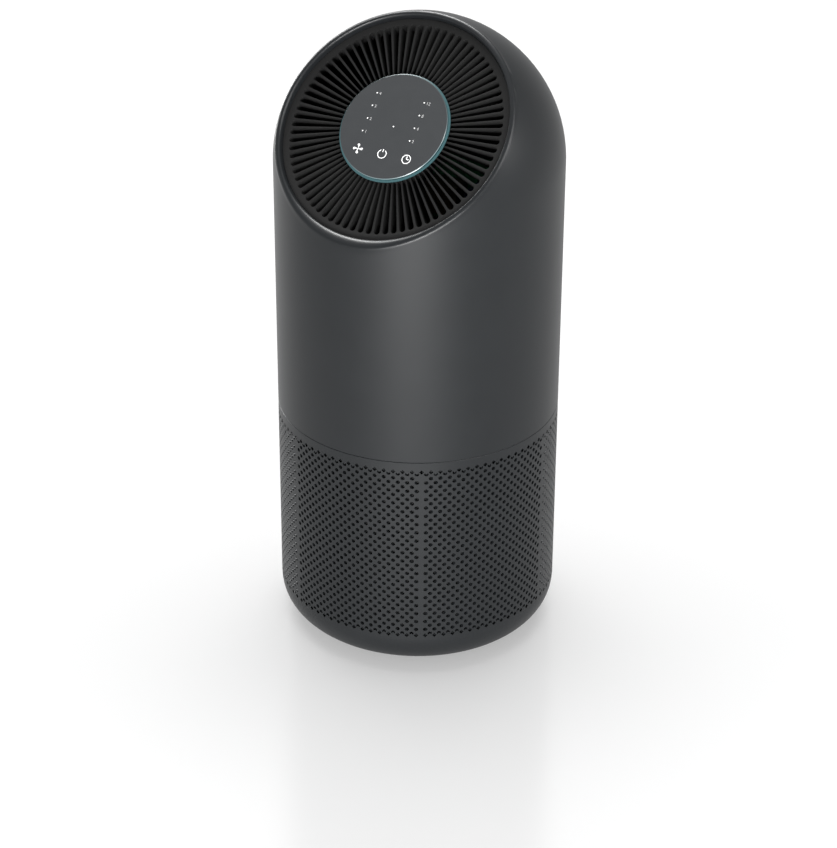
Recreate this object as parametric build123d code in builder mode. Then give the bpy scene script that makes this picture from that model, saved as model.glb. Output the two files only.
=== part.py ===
from build123d import *
import os
from math import acos, atan2, cos, radians, sin, sqrt, tan, tau

# Tower air purifier: a perforated inlet cup below, a capsule-shaped upper unit above it,
# and a round outlet cut off at a slant, with a control disc in the middle of its grille.
# Millimetres, +Z up, the front faces -Y, the origin is on the floor under the middle.

os.makedirs("parts", exist_ok=True)

# Body
body_radius = 100.0
wall = 3.0
dome_z = 356.0  # height of the dome's centre, where the straight wall ends
base_round = 26.0
seam_z = 173.0  # parting line between the inlet cup and the upper unit
seam_gap = 0.6
clearance = 0.3  # between pieces that lie side by side

# Slanted outlet, measured from the dome's centre along the outlet's own axis
outlet_tilt = 45.0
rim_distance = 53.2
rim_round = 2.3
rim_flat = 0.2  # left on the rim at the back, between its two rounded edges
lip_inset = 0.1
lip_thickness = 4.0
collar_wall = 2.5
collar_depth = 12.0
ledge_width = 2.2
ledge_height = 3.0

# Outlet grille
slot_count = 78
grille_ring_width = 4.4
slot_width_outer = 4.2
slot_width_inner = 2.1
grille_depth = 8.0
grille_below_rim = 4.4
hub_recess = 1.5
hub_bore_radius = 33.3
hub_ring_width = 3.2

# Control disc
disc_radius = 38.1
glass_thickness = 1.8
glass_edge = 0.4
light_ring_height = 1.6
light_ring_width = 3.0
light_skirt = 1.3  # how far the light ring reaches out from under the glass
cup_flange = 1.0
cup_depth = 14.0
cup_wall = 2.0
board_thickness = 1.6
control_board_lift = 8.0
led_size = 2.0
led_height = 1.0
led_left_x = -20.6
led_right_x = 15.2
led_first_y = 20.8
led_step = 9.4
led_rows = 4
key_spacing = 18.4
key_y = -20.4
key_contact_radius = 3.2
control_screw_circle = 26.0
control_screw_angles = (90, 210, 330)

# Perforated inlet, in six panels with a bare strip between them; all the holes of a panel are
# parallel, as one slide of the mould forms them
panel_count = 6
holes_per_panel = 4
hole_rows = 10
hole_top_z = 161.0
hole_bottom_z = 35.0
hole_radius = 5.6
hole_sides = 6

# Rubber feet
foot_height = 2.0
foot_radius = 8.0
foot_recess = 1.5
foot_inset = 12.0  # from the start of the rounded base to the middle of a foot
foot_count = 4

# Bayonet between the inlet cup and the upper unit
bayonet_count = 4
bayonet_angle = 45.0
skirt_wall = 2.4
skirt_inset = 4.6
skirt_depth = 12.0
lug_angle = 14.0
lug_height = 4.0
hook_angle = 16.0
hook_height = 4.0
stop_angle = 2.5
flange_height = 3.0
flange_lift = 1.0

# Filter cartridge
filter_gap = 4.0  # air space round the cartridge inside the skirt
filter_seat_z = 14.0
filter_seat_radius = 52.0
filter_seat_wall = 4.0
cap_thickness = 4.0
cap_rim_wall = 1.0
cap_rim_height = 8.0
net_thickness = 0.8
carbon_thickness = 2.0
pleat_count = 60
pleat_inner_radius = 58.0
pleat_paper = 1.6
filter_mouth_radius = 52.0
gasket_inner_radius = 54.0
gasket_width = 10.0
gasket_height = 3.3

# Fan deck, guard and casing
deck_thickness = 3.0
throat_radius = 43.5
throat_wall = 1.5
throat_lip = 7.0
throat_entry_land = 0.6  # straight part of the throat above its rounded entry
guard_lift = 0.8
guard_thickness = 2.0
guard_bar = 1.4
guard_rings = 3
guard_spokes = 6
guard_hub_radius = 6.0
casing_gap = 10.5
casing_wall = 2.5
casing_height = 77.0
casing_flange_width = 8.5
deck_screw_count = 6
screw_radius = 1.6
screw_head_radius = 3.2
screw_head_height = 2.4
screw_length = 8.0

# Impeller
eye_gap = 1.2
eye_wall = 2.0
eye_drop = 4.0
impeller_radius = 72.0
impeller_lift = 6.5
impeller_height = 46.0
shroud_rise = 8.0
plate_thickness = 2.5
blade_count = 9
blade_thickness = 1.8
blade_sweep = 38.0
blade_bow = 0.38  # share of the sweep at the middle of a blade or vane
hub_radius = 9.0
hub_above = 7.5
hub_below = 8.0
shaft_radius = 3.0
running_gap = 0.05
nut_radius = 5.2
nut_height = 4.5
shaft_below_nut = 3.0

# Motor and the diffuser that carries it
diffuser_ring_wall = 2.4
diffuser_height = 12.0
diffuser_ledge = 3.0
vane_count = 11
vane_thickness = 1.8
vane_sweep = 24.0
motor_cup_radius = 40.0
motor_cup_wall = 2.5
motor_cup_drop = 2.0
motor_cup_rise = 24.5
motor_radius = 27.0
motor_height = 33.0
motor_wall = 1.5
motor_end = 3.0
bearing_radius = 8.0
bearing_width = 5.0
bearing_seat_wall = 2.4
stator_height = 11.0
stator_teeth = 9
stator_yoke = 4.0
tooth_width = 5.0
air_gap = 0.6
rotor_radius = 13.8
rotor_height = 13.0
grommet_radius = 5.0
grommet_height = 2.5
grommet_count = 3
grommet_circle = 18.0

# Electrics in the upper unit
board_width = 56.0
board_height = 60.0
board_gap = 25.0  # from the board to the rear wall
board_z = 270.0
boss_radius = 3.2
boss_inset = 6.0
transformer_size = (26.0, 18.0, 22.0)
capacitor_radius = 6.0
capacitor_length = 16.0
capacitor_step = 15.0
socket_lift = 17.0
socket_radius = 8.0
socket_length = 12.0
socket_recess = 0.4
socket_bore = 3.2
socket_depth = 8.5
pin_radius = 1.0
pin_length = 7.5
sensor_size = (14.0, 36.0, 28.0)
sensor_gap = 5.0  # from the sensor to the side wall
sensor_z = 280.0
sensor_boss_y = 12.0
vent_slots = 4
vent_width = 1.6
vent_height = 12.0
vent_step = 5.0

# Heights and planes that follow
inner_radius = body_radius - wall
rim_radius = sqrt(body_radius**2 - rim_distance**2)
dome_angle = acos(rim_distance / body_radius)  # between the dome's wall and the rim
lip_angle = atan2(grille_below_rim, lip_inset)
rim_land = rim_round * (tan(dome_angle / 2) + tan(lip_angle / 2)) + rim_flat
lip_top_radius = rim_radius - rim_land
collar_radius = lip_top_radius - lip_inset
slot_end_radius = collar_radius - clearance - grille_ring_width
foot_circle = body_radius - base_round - foot_inset
casing_radius = inner_radius - casing_gap
board_y = inner_radius - board_gap
sleeve_top = seam_z - seam_gap / 2
housing_bottom = seam_z + seam_gap / 2
flange_bottom = seam_z + flange_lift
deck_z = flange_bottom + flange_height
deck_top = deck_z + deck_thickness
skirt_radius = inner_radius - skirt_inset
skirt_inner = skirt_radius - skirt_wall
skirt_bottom = seam_z - skirt_depth
filter_radius = skirt_inner - filter_gap
socket_z = deck_top + socket_lift
hook_z = skirt_bottom + lug_height + clearance
bayonet_angles = [bayonet_angle + 360 / bayonet_count * i for i in range(bayonet_count)]

head_center = Vector(0, 0, dome_z)
head_normal = Vector(0, -sin(radians(outlet_tilt)), cos(radians(outlet_tilt)))
head_plane = Plane(head_center, x_dir=(1, 0, 0), z_dir=head_normal)
head_section = Plane(head_center, x_dir=(1, 0, 0), z_dir=-head_plane.y_dir)
head_axis = Axis(head_center, head_normal)
ring_top = rim_distance - grille_below_rim
hub_top = ring_top - hub_recess
flange_top = hub_top + cup_flange
light_top = flange_top + light_ring_height
cup_bottom = hub_top - cup_depth
cup_radius = hub_bore_radius - clearance
control_board_d = cup_bottom + cup_wall + control_board_lift
control_top = control_board_d + board_thickness


def at(height):
    """The level plane at a height above the floor."""
    return Plane.XY.offset(height)


def facing(angle, radius):
    """The upright plane at a radius that looks outwards at an angle, with Y pointing up."""
    out = Vector(cos(radians(angle)), sin(radians(angle)), 0)
    side = Vector(-sin(radians(angle)), cos(radians(angle)), 0)
    return Plane(out * radius, x_dir=side, z_dir=out)


def annulus(plane, outer, inner):
    """A flat ring."""
    with BuildSketch(plane) as ring:
        Circle(outer)
        Circle(inner, mode=Mode.SUBTRACT)
    return ring.sketch


def sector(plane, outer, inner, start, sweep):
    """A slice of a flat ring, from a start angle."""
    with BuildSketch(plane) as piece:
        with BuildLine():
            far = CenterArc((0, 0), outer, start, sweep)
            near = CenterArc((0, 0), inner, start, sweep)
            Line(far @ 0, near @ 0)
            Line(far @ 1, near @ 1)
        make_face()
    return piece.sketch


def blades(plane, inner, outer, sweep, thickness, count):
    """Evenly spaced blade sections, swept back from the inner radius to the outer one."""
    middle = (inner + outer) / 2
    with BuildSketch() as section:
        with BuildLine():
            ThreePointArc(
                (inner, 0),
                (middle * cos(radians(sweep * blade_bow)), -middle * sin(radians(sweep * blade_bow))),
                (outer * cos(radians(sweep)), -outer * sin(radians(sweep))),
            )
        trace(line_width=thickness)
    with BuildSketch(plane) as pattern:
        with PolarLocations(0, count):
            add(section.sketch)
    return pattern.sketch


def zigzag(outer, inner):
    """A star-shaped outline with one tip for each pleat."""
    tips = []
    for i in range(2 * pleat_count):
        radius = outer if i % 2 == 0 else inner
        angle = tau * i / (2 * pleat_count)
        tips.append((radius * cos(angle), radius * sin(angle)))
    return tips


def screws(planes):
    """Pan-head screws, each with its head standing on a plane and its shank below it."""
    with BuildPart() as group:
        for plane in planes:
            with BuildSketch(plane):
                Circle(screw_head_radius)
            extrude(amount=screw_head_height)
            with BuildSketch(plane):
                Circle(screw_radius)
            extrude(amount=-screw_length)
    return group


# Inlet cup: perforated wall, rounded base, filter seat and bayonet hooks
with BuildPart() as inlet_sleeve:
    corner = (body_radius - base_round, foot_height + base_round)
    with BuildSketch(Plane.XZ):
        with BuildLine():
            outside = CenterArc(corner, base_round, -90, 90)
            inside = CenterArc(corner, base_round - wall, -90, 90)
            Polyline(
                outside @ 1,
                (body_radius, sleeve_top),
                (inner_radius, sleeve_top),
                inside @ 1,
            )
            Polyline(
                outside @ 0,
                (0, foot_height),
                (0, foot_height + wall),
                inside @ 0,
            )
        make_face()
    revolve(axis=Axis.Z)
    row_step = (hole_top_z - hole_bottom_z) / (hole_rows - 1)
    half_panel = 180 / panel_count
    behind_wall = inner_radius * cos(radians(half_panel)) - wall
    for panel in range(panel_count):
        with BuildSketch(facing(half_panel * (2 * panel + 1), behind_wall)):
            for column in range(1, 2 * holes_per_panel):
                across = body_radius * sin(radians(half_panel * (column / holes_per_panel - 1)))
                rows = range(1 - column % 2, hole_rows, 2)
                with Locations(*[(across, hole_top_z - row * row_step) for row in rows]):
                    RegularPolygon(hole_radius, hole_sides)
        extrude(amount=body_radius + wall - behind_wall, mode=Mode.SUBTRACT)
    seat_root = foot_height + wall / 2
    extrude(
        annulus(at(seat_root), filter_seat_radius + filter_seat_wall, filter_seat_radius),
        amount=filter_seat_z - seat_root,
    )
    hook_inner = skirt_radius + 2 * clearance
    hook_root = inner_radius + wall / 3
    for angle in bayonet_angles:
        start = angle - hook_angle / 2
        extrude(sector(at(hook_z), hook_root, hook_inner, start, hook_angle), amount=hook_height)
        extrude(
            sector(at(skirt_bottom), hook_root, hook_inner, start - stop_angle, stop_angle),
            amount=hook_z + hook_height - skirt_bottom,
        )
    with BuildSketch(at(foot_height)):
        with PolarLocations(foot_circle, foot_count, bayonet_angle):
            Circle(foot_radius + clearance)
    extrude(amount=foot_recess, mode=Mode.SUBTRACT)

with BuildPart() as rubber_feet:
    with BuildSketch():
        with PolarLocations(foot_circle, foot_count, bayonet_angle):
            Circle(foot_radius)
    extrude(amount=foot_height + foot_recess)
    chamfer(rubber_feet.faces().group_by(Axis.Z)[0].edges(), foot_height / 3)

# Filter cartridge: two caps, pleated paper, a carbon layer and a washable net
filter_top = deck_z - clearance - gasket_height
media_bottom = filter_seat_z + cap_thickness
media_top = filter_top - cap_thickness
net_radius = filter_radius - cap_rim_wall - clearance
carbon_radius = net_radius - net_thickness
pleat_radius = carbon_radius - carbon_thickness - clearance

with BuildPart() as filter_bottom_cap:
    extrude(annulus(at(filter_seat_z), filter_radius, filter_radius - cap_rim_wall),
            amount=cap_rim_height)
    with BuildSketch(at(filter_seat_z)):
        Circle(filter_radius - cap_rim_wall / 2)
    extrude(amount=cap_thickness)

with BuildPart() as filter_top_cap:
    extrude(annulus(at(filter_top), filter_radius, filter_radius - cap_rim_wall),
            amount=-cap_rim_height)
    extrude(annulus(at(filter_top), filter_radius - cap_rim_wall / 2, filter_mouth_radius),
            amount=-cap_thickness)

with BuildPart() as filter_media:
    with BuildSketch(at(media_bottom)):
        Polygon(*zigzag(pleat_radius, pleat_inner_radius + pleat_paper), align=None)
        Polygon(*zigzag(pleat_radius - pleat_paper, pleat_inner_radius), align=None,
                mode=Mode.SUBTRACT)
    extrude(amount=media_top - media_bottom)

with BuildPart() as carbon_layer:
    extrude(annulus(at(media_bottom), carbon_radius, carbon_radius - carbon_thickness),
            amount=media_top - media_bottom)

with BuildPart() as prefilter_net:
    extrude(annulus(at(media_bottom), net_radius, net_radius - net_thickness),
            amount=media_top - media_bottom)

with BuildPart() as filter_gasket:
    extrude(annulus(at(filter_top), gasket_inner_radius + gasket_width, gasket_inner_radius),
            amount=gasket_height)

# Upper housing: capsule shell, slanted lip and collar, bayonet skirt, bosses
deck_screw_circle = casing_radius + casing_flange_width / 2 + clearance
board_boss_z = [board_z + boss_inset, board_z + board_height - boss_inset]
board_boss_x = [boss_inset - board_width / 2, board_width / 2 - boss_inset]
board_back = board_y + board_thickness
sensor_back = sensor_gap - inner_radius
sensor_boss_z = sensor_z + sensor_size[2] / 2


def capsule(radius, bottom):
    """A solid upright cylinder with a half sphere on top."""
    with BuildPart() as solid:
        with BuildSketch(Plane.XZ):
            with BuildLine():
                dome = CenterArc((0, dome_z), radius, 0, 90)
                Polyline(dome @ 1, (0, bottom), (radius, bottom), dome @ 0)
            make_face()
        revolve(axis=Axis.Z)
    return solid.part


with BuildPart() as hollow:
    add(capsule(inner_radius, seam_z))
    split(bisect_by=head_plane.offset(rim_distance - lip_thickness), keep=Keep.BOTTOM)

with BuildPart() as upper_housing:
    add(capsule(body_radius, housing_bottom))
    split(bisect_by=head_plane.offset(rim_distance), keep=Keep.BOTTOM)
    add(hollow.part, mode=Mode.SUBTRACT)
    collar_bottom = ring_top - collar_depth
    extrude(
        annulus(head_plane.offset(collar_bottom), collar_radius + collar_wall, collar_radius),
        amount=rim_distance - lip_thickness / 2 - collar_bottom,
    )
    with BuildSketch(head_section):
        lip_slope = (lip_top_radius - collar_radius) / grille_below_rim
        with BuildLine():
            Polyline(
                (0, collar_bottom),
                (collar_radius, collar_bottom),
                (collar_radius, ring_top),
                (lip_top_radius + lip_slope * lip_thickness, rim_distance + lip_thickness),
                (0, rim_distance + lip_thickness),
                close=True,
            )
        make_face()
    revolve(axis=head_axis, mode=Mode.SUBTRACT)
    extrude(
        annulus(head_plane.offset(collar_bottom), collar_radius + collar_wall / 2,
                collar_radius - ledge_width),
        amount=ledge_height,
    )
    land = upper_housing.faces().sort_by(head_axis)[-1]
    fillet(land.edges(), rim_round)
    extrude(annulus(at(flange_bottom), body_radius - wall / 2, skirt_inner),
            amount=flange_height)
    extrude(annulus(at(skirt_bottom), skirt_radius, skirt_inner),
            amount=flange_bottom + flange_height / 2 - skirt_bottom)
    for angle in bayonet_angles:
        extrude(
            sector(at(skirt_bottom), inner_radius - 2 * clearance, skirt_radius - skirt_wall / 2,
                   angle - lug_angle / 2, lug_angle),
            amount=lug_height,
        )
    with BuildSketch(at(deck_z)):
        with PolarLocations(deck_screw_circle, deck_screw_count):
            Circle(screw_radius + running_gap)
    extrude(amount=-flange_height, mode=Mode.SUBTRACT)
    for x in board_boss_x:
        boss_end = sqrt(inner_radius**2 - x**2) + wall / 2
        with BuildSketch(Plane.XZ.offset(-board_back)):
            with Locations(*[(x, z) for z in board_boss_z]):
                Circle(boss_radius)
                Circle(screw_radius + running_gap, mode=Mode.SUBTRACT)
        extrude(amount=board_back - boss_end)
    with BuildSketch(Plane.YZ.offset(sensor_back)):
        with Locations((-sensor_boss_y, sensor_boss_z), (sensor_boss_y, sensor_boss_z)):
            Circle(boss_radius)
    extrude(amount=-(inner_radius + sensor_back))
    with BuildSketch(Plane.YZ.offset(-body_radius - wall)):
        with Locations((0, sensor_boss_z)):
            with GridLocations(vent_step, 0, vent_slots, 1):
                Rectangle(vent_width, vent_height)
    extrude(amount=2 * wall + wall / 2, mode=Mode.SUBTRACT)
    with BuildSketch(Plane.XZ.offset(-inner_radius + wall)):
        with Locations((0, socket_z)):
            Circle(socket_radius + clearance / 2)
    extrude(amount=-3 * wall, mode=Mode.SUBTRACT)

# Outlet grille: a disc with radial slots and a recess for the control cup
with BuildPart() as outlet_grille:
    grille_radius = collar_radius - clearance
    slot_inner = hub_bore_radius + hub_ring_width
    with BuildSketch(head_section):
        with BuildLine():
            Polyline(
                (hub_bore_radius, hub_top),
                (disc_radius + clearance, hub_top),
                (disc_radius + clearance, ring_top),
                (grille_radius, ring_top),
                (grille_radius, ring_top - grille_depth),
                (hub_bore_radius, ring_top - grille_depth),
                close=True,
            )
        make_face()
    revolve(axis=head_axis)
    with BuildSketch() as slot:
        with BuildLine():
            tip = slot_end_radius - slot_width_outer / 2
            end = CenterArc((tip, 0), slot_width_outer / 2, -90, 180)
            Polyline(
                end @ 0,
                (slot_inner, -slot_width_inner / 2),
                (slot_inner, slot_width_inner / 2),
                end @ 1,
            )
        make_face()
    with BuildSketch(head_plane.offset(ring_top)):
        with PolarLocations(0, slot_count):
            add(slot.sketch)
    extrude(amount=-grille_depth, mode=Mode.SUBTRACT)

# Control cup in the grille's hub, with its board, light ring and glass
control_screw_spots = [
    (control_screw_circle * cos(radians(angle)), control_screw_circle * sin(radians(angle)))
    for angle in control_screw_angles
]

with BuildPart() as control_cup:
    extrude(annulus(head_plane.offset(cup_bottom), cup_radius, cup_radius - cup_wall),
            amount=cup_depth + cup_flange)
    extrude(annulus(head_plane.offset(hub_top), disc_radius - clearance, cup_radius - cup_wall),
            amount=cup_flange)
    with BuildSketch(head_plane.offset(cup_bottom)):
        Circle(cup_radius)
    extrude(amount=cup_wall)
    with BuildSketch(head_plane.offset(cup_bottom + cup_wall)):
        with Locations(*control_screw_spots):
            Circle(boss_radius)
    extrude(amount=control_board_lift)
    with BuildSketch(head_plane.offset(cup_bottom)):
        with Locations(*control_screw_spots):
            Circle(screw_radius + running_gap)
    extrude(amount=cup_wall + control_board_lift, mode=Mode.SUBTRACT)

with BuildPart() as light_ring:
    with BuildSketch(head_section):
        with BuildLine():
            Polyline(
                (disc_radius - light_ring_width, flange_top),
                (disc_radius, flange_top),
                (disc_radius, ring_top + clearance),
                (disc_radius + light_skirt, ring_top + clearance),
                (disc_radius + light_skirt, ring_top + 2 * clearance),
                (disc_radius, light_top),
                (disc_radius - light_ring_width, light_top),
                close=True,
            )
        make_face()
    revolve(axis=head_axis)

with BuildPart() as touch_glass:
    with BuildSketch(head_plane.offset(light_top)):
        Circle(disc_radius)
    extrude(amount=glass_thickness)
    chamfer(touch_glass.faces().sort_by(head_axis)[-1].edges(), glass_edge)

with BuildPart() as control_board:
    with BuildSketch(head_plane.offset(control_board_d)):
        Circle(cup_radius - cup_wall - clearance)
        with Locations(*control_screw_spots):
            Circle(screw_radius + running_gap, mode=Mode.SUBTRACT)
    extrude(amount=board_thickness)

with BuildPart() as indicator_leds:
    with BuildSketch(head_plane.offset(control_top)):
        for x in (led_left_x, led_right_x):
            with Locations(*[(x, led_first_y - led_step * row) for row in range(led_rows)]):
                Rectangle(led_size, led_size)
        Rectangle(led_size, led_size)
    extrude(amount=led_height)

with BuildPart() as key_contacts:
    with BuildSketch(head_plane.offset(control_top)):
        with Locations((-key_spacing, key_y), (0, key_y), (key_spacing, key_y)):
            Circle(key_contact_radius)
    extrude(amount=light_top - control_top)

# Fan deck with its bell mouth, finger guard and casing
with BuildPart() as fan_deck:
    extrude(annulus(at(deck_z), inner_radius - clearance, throat_radius), amount=deck_thickness)
    extrude(annulus(at(deck_z), throat_radius + throat_wall, throat_radius),
            amount=deck_thickness + throat_lip)
    entry = fan_deck.edges().filter_by(GeomType.CIRCLE).group_by(Axis.Z)[0]
    fillet(entry.sort_by(SortBy.RADIUS)[0], deck_thickness - throat_entry_land)
    with BuildSketch(at(deck_z)):
        with PolarLocations(deck_screw_circle, deck_screw_count):
            Circle(screw_radius + running_gap)
    extrude(amount=deck_thickness, mode=Mode.SUBTRACT)

with BuildPart() as inlet_guard:
    guard_radius = throat_radius - clearance
    with BuildSketch(at(deck_top + guard_lift)):
        Circle(guard_radius)
        Circle(guard_radius - guard_bar, mode=Mode.SUBTRACT)
        for ring in range(1, guard_rings):
            middle = guard_hub_radius + (guard_radius - guard_hub_radius) * ring / guard_rings
            add(annulus(Plane.XY, middle + guard_bar / 2, middle - guard_bar / 2))
        Circle(guard_hub_radius)
        with PolarLocations(guard_radius / 2, guard_spokes):
            Rectangle(guard_radius - guard_bar, guard_bar)
    extrude(amount=guard_thickness)

diffuser_z = deck_top + casing_height - diffuser_height
casing_inner = casing_radius - casing_wall
with BuildPart() as fan_casing:
    extrude(annulus(at(deck_top), casing_radius, casing_inner), amount=casing_height)
    extrude(annulus(at(deck_top), casing_radius + casing_flange_width, casing_inner),
            amount=deck_thickness)
    extrude(annulus(at(diffuser_z), casing_inner + casing_wall / 2,
                    casing_inner - diffuser_ring_wall), amount=-diffuser_ledge)
    with BuildSketch(at(deck_top)):
        with PolarLocations(deck_screw_circle, deck_screw_count):
            Circle(screw_radius + running_gap)
    extrude(amount=deck_thickness, mode=Mode.SUBTRACT)

# Impeller on its shaft
impeller_z = deck_top + impeller_lift
plate_z = impeller_z + impeller_height - plate_thickness
eye_radius = throat_radius + throat_wall + eye_gap
eye_outer = eye_radius + eye_wall
shaft_bottom = plate_z - hub_below - nut_height - shaft_below_nut

with BuildPart() as impeller:
    extrude(blades(at(impeller_z), eye_outer, impeller_radius - blade_thickness, blade_sweep,
                   blade_thickness, blade_count), amount=plate_z - impeller_z)
    with BuildSketch(Plane.XZ):
        with BuildLine():
            Polyline(
                (eye_radius, impeller_z),
                (eye_radius, impeller_z + eye_wall),
                (impeller_radius, impeller_z + shroud_rise + eye_wall),
                (impeller_radius, impeller_z),
                close=True,
            )
        make_face()
    revolve(axis=Axis.Z, mode=Mode.SUBTRACT)
    with BuildSketch(Plane.XZ):
        with BuildLine():
            Polyline(
                (eye_radius, impeller_z - eye_drop),
                (eye_outer, impeller_z - eye_drop),
                (eye_outer, impeller_z),
                (impeller_radius, impeller_z + shroud_rise),
                (impeller_radius, impeller_z + shroud_rise + eye_wall),
                (eye_radius, impeller_z + eye_wall),
                close=True,
            )
        make_face()
    revolve(axis=Axis.Z)
    with BuildSketch(at(plate_z)):
        Circle(impeller_radius)
    extrude(amount=plate_thickness)
    with BuildSketch(at(plate_z - hub_below)):
        Circle(hub_radius)
    extrude(amount=hub_below + plate_thickness + hub_above)
    with BuildSketch(at(plate_z - hub_below)):
        Circle(shaft_radius + running_gap)
    extrude(amount=hub_below + plate_thickness + hub_above, mode=Mode.SUBTRACT)

with BuildPart() as hub_nut:
    with BuildSketch(at(plate_z - hub_below)):
        RegularPolygon(nut_radius, 6)
        Circle(shaft_radius + running_gap, mode=Mode.SUBTRACT)
    extrude(amount=-nut_height)

# Motor inside the diffuser's cup
cup_roof_z = diffuser_z + diffuser_height + motor_cup_rise - motor_cup_wall
motor_top = cup_roof_z - grommet_height
motor_bottom = motor_top - motor_height
motor_inner = motor_radius - motor_wall
can_bottom = motor_bottom + motor_end
upper_bearing_z = motor_top - motor_wall - bearing_width
motor_middle = (can_bottom + bearing_width + upper_bearing_z) / 2
bearing_seat = bearing_radius + bearing_seat_wall

with BuildPart() as diffuser:
    ring_outer = casing_inner - clearance
    extrude(annulus(at(diffuser_z), ring_outer, ring_outer - diffuser_ring_wall),
            amount=diffuser_height)
    extrude(blades(at(diffuser_z), motor_cup_radius - motor_cup_wall / 2,
                   ring_outer - diffuser_ring_wall / 2, -vane_sweep, vane_thickness, vane_count),
            amount=diffuser_height)
    extrude(annulus(at(diffuser_z - motor_cup_drop), motor_cup_radius,
                    motor_cup_radius - motor_cup_wall),
            amount=cup_roof_z + motor_cup_wall - diffuser_z + motor_cup_drop)
    with BuildSketch(at(cup_roof_z)):
        Circle(motor_cup_radius)
        with PolarLocations(grommet_circle, grommet_count):
            Circle(screw_radius + running_gap, mode=Mode.SUBTRACT)
    extrude(amount=motor_cup_wall)
    fillet(diffuser.faces().sort_by(Axis.Z)[-1].outer_wire().edges(), motor_cup_wall)

with BuildPart() as motor_can:
    extrude(annulus(at(can_bottom), motor_radius, motor_inner), amount=motor_top - can_bottom)
    extrude(annulus(at(upper_bearing_z), bearing_seat, bearing_radius),
            amount=motor_top - upper_bearing_z)
    with BuildSketch(at(motor_top)):
        Circle(motor_radius - motor_wall / 2)
        with PolarLocations(grommet_circle, grommet_count):
            Circle(screw_radius + running_gap, mode=Mode.SUBTRACT)
    extrude(amount=-motor_wall)

with BuildPart() as motor_end_cap:
    extrude(annulus(at(motor_bottom), motor_radius, shaft_radius + motor_wall), amount=motor_end)
    extrude(annulus(at(can_bottom - motor_end / 2), bearing_seat, bearing_radius),
            amount=motor_end / 2 + bearing_width)

with BuildPart() as motor_bearings:
    for bearing_z in (can_bottom, upper_bearing_z):
        extrude(annulus(at(bearing_z), bearing_radius, shaft_radius + running_gap),
                amount=bearing_width)

with BuildPart() as motor_stator:
    stator_bottom = at(motor_middle - stator_height / 2)
    tooth_inner = rotor_radius + air_gap
    tooth_length = motor_inner - clearance - stator_yoke / 2 - tooth_inner
    extrude(annulus(stator_bottom, motor_inner - clearance, motor_inner - stator_yoke),
            amount=stator_height)
    with BuildSketch(stator_bottom):
        with PolarLocations(tooth_inner + tooth_length / 2, stator_teeth):
            Rectangle(tooth_length, tooth_width)
        Circle(tooth_inner, mode=Mode.SUBTRACT)
    extrude(amount=stator_height)

with BuildPart() as motor_rotor:
    extrude(annulus(at(motor_middle - rotor_height / 2), rotor_radius,
                    shaft_radius + running_gap), amount=rotor_height)

with BuildPart() as motor_shaft:
    with BuildSketch(at(shaft_bottom)):
        Circle(shaft_radius)
    extrude(amount=upper_bearing_z + bearing_width - shaft_bottom)
    chamfer(motor_shaft.faces().sort_by(Axis.Z)[0].edges(), shaft_radius / 4)

with BuildPart() as motor_grommets:
    with BuildSketch(at(motor_top)):
        with PolarLocations(grommet_circle, grommet_count):
            Circle(grommet_radius)
            Circle(screw_radius + running_gap, mode=Mode.SUBTRACT)
    extrude(amount=grommet_height)

# Electrics: power board on the rear wall, dust sensor at the side, low-voltage socket
with BuildPart() as power_board:
    with BuildSketch(Plane.XZ.offset(-board_y)):
        with Locations((0, board_z + board_height / 2)):
            Rectangle(board_width, board_height)
        with Locations(*[(x, z) for x in board_boss_x for z in board_boss_z]):
            Circle(screw_radius + running_gap, mode=Mode.SUBTRACT)
    extrude(amount=-board_thickness)

with BuildPart() as power_transformer:
    width, depth, height = transformer_size
    with BuildSketch(Plane.XZ.offset(-board_y)):
        with Locations((-width / 2, board_z + board_height / 2)):
            Rectangle(width, height)
    extrude(amount=depth)

with BuildPart() as power_capacitors:
    with BuildSketch(Plane.XZ.offset(-board_y)):
        with Locations((2 * capacitor_radius, board_z + board_height / 2)):
            with GridLocations(0, capacitor_step, 1, 2):
                Circle(capacitor_radius)
    extrude(amount=capacitor_length)

with BuildPart() as dust_sensor:
    depth, width, height = sensor_size
    with BuildSketch(Plane.YZ.offset(sensor_back)):
        with Locations((0, sensor_boss_z)):
            Rectangle(width, height)
    extrude(amount=depth)
    with BuildSketch(Plane.YZ.offset(sensor_back)):
        with Locations((0, sensor_boss_z)):
            Rectangle(vent_step * vent_slots, vent_height)
    extrude(amount=depth / 3, mode=Mode.SUBTRACT)

socket_face = body_radius - socket_recess
with BuildPart() as power_socket:
    with BuildSketch(Plane.XZ.offset(-socket_face)):
        with Locations((0, socket_z)):
            Circle(socket_radius)
    extrude(amount=socket_length)
    with BuildSketch(Plane.XZ.offset(-socket_face)):
        with Locations((0, socket_z)):
            Circle(socket_bore)
    extrude(amount=socket_depth, mode=Mode.SUBTRACT)

with BuildPart() as socket_pin:
    with BuildSketch(Plane.XZ.offset(-socket_face + socket_depth)):
        with Locations((0, socket_z)):
            Circle(pin_radius)
    extrude(amount=-pin_length)

# Fasteners
def round_circle(radius, height, count):
    """Level planes spaced evenly round a circle."""
    spot = Vector(radius, 0, height)
    return [Plane(spot.rotate(Axis.Z, 360 / count * i)) for i in range(count)]


deck_screws = screws(round_circle(deck_screw_circle, deck_top + deck_thickness, deck_screw_count))
motor_screws = screws(round_circle(grommet_circle, cup_roof_z + motor_cup_wall, grommet_count))
board_screws = screws([
    Plane((x, board_y, z), x_dir=(1, 0, 0), z_dir=(0, -1, 0))
    for x in board_boss_x
    for z in board_boss_z
])
control_screws = screws([
    Plane(head_plane.from_local_coords((x, y, control_top)), x_dir=(1, 0, 0), z_dir=head_normal)
    for x, y in control_screw_spots
])

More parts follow.
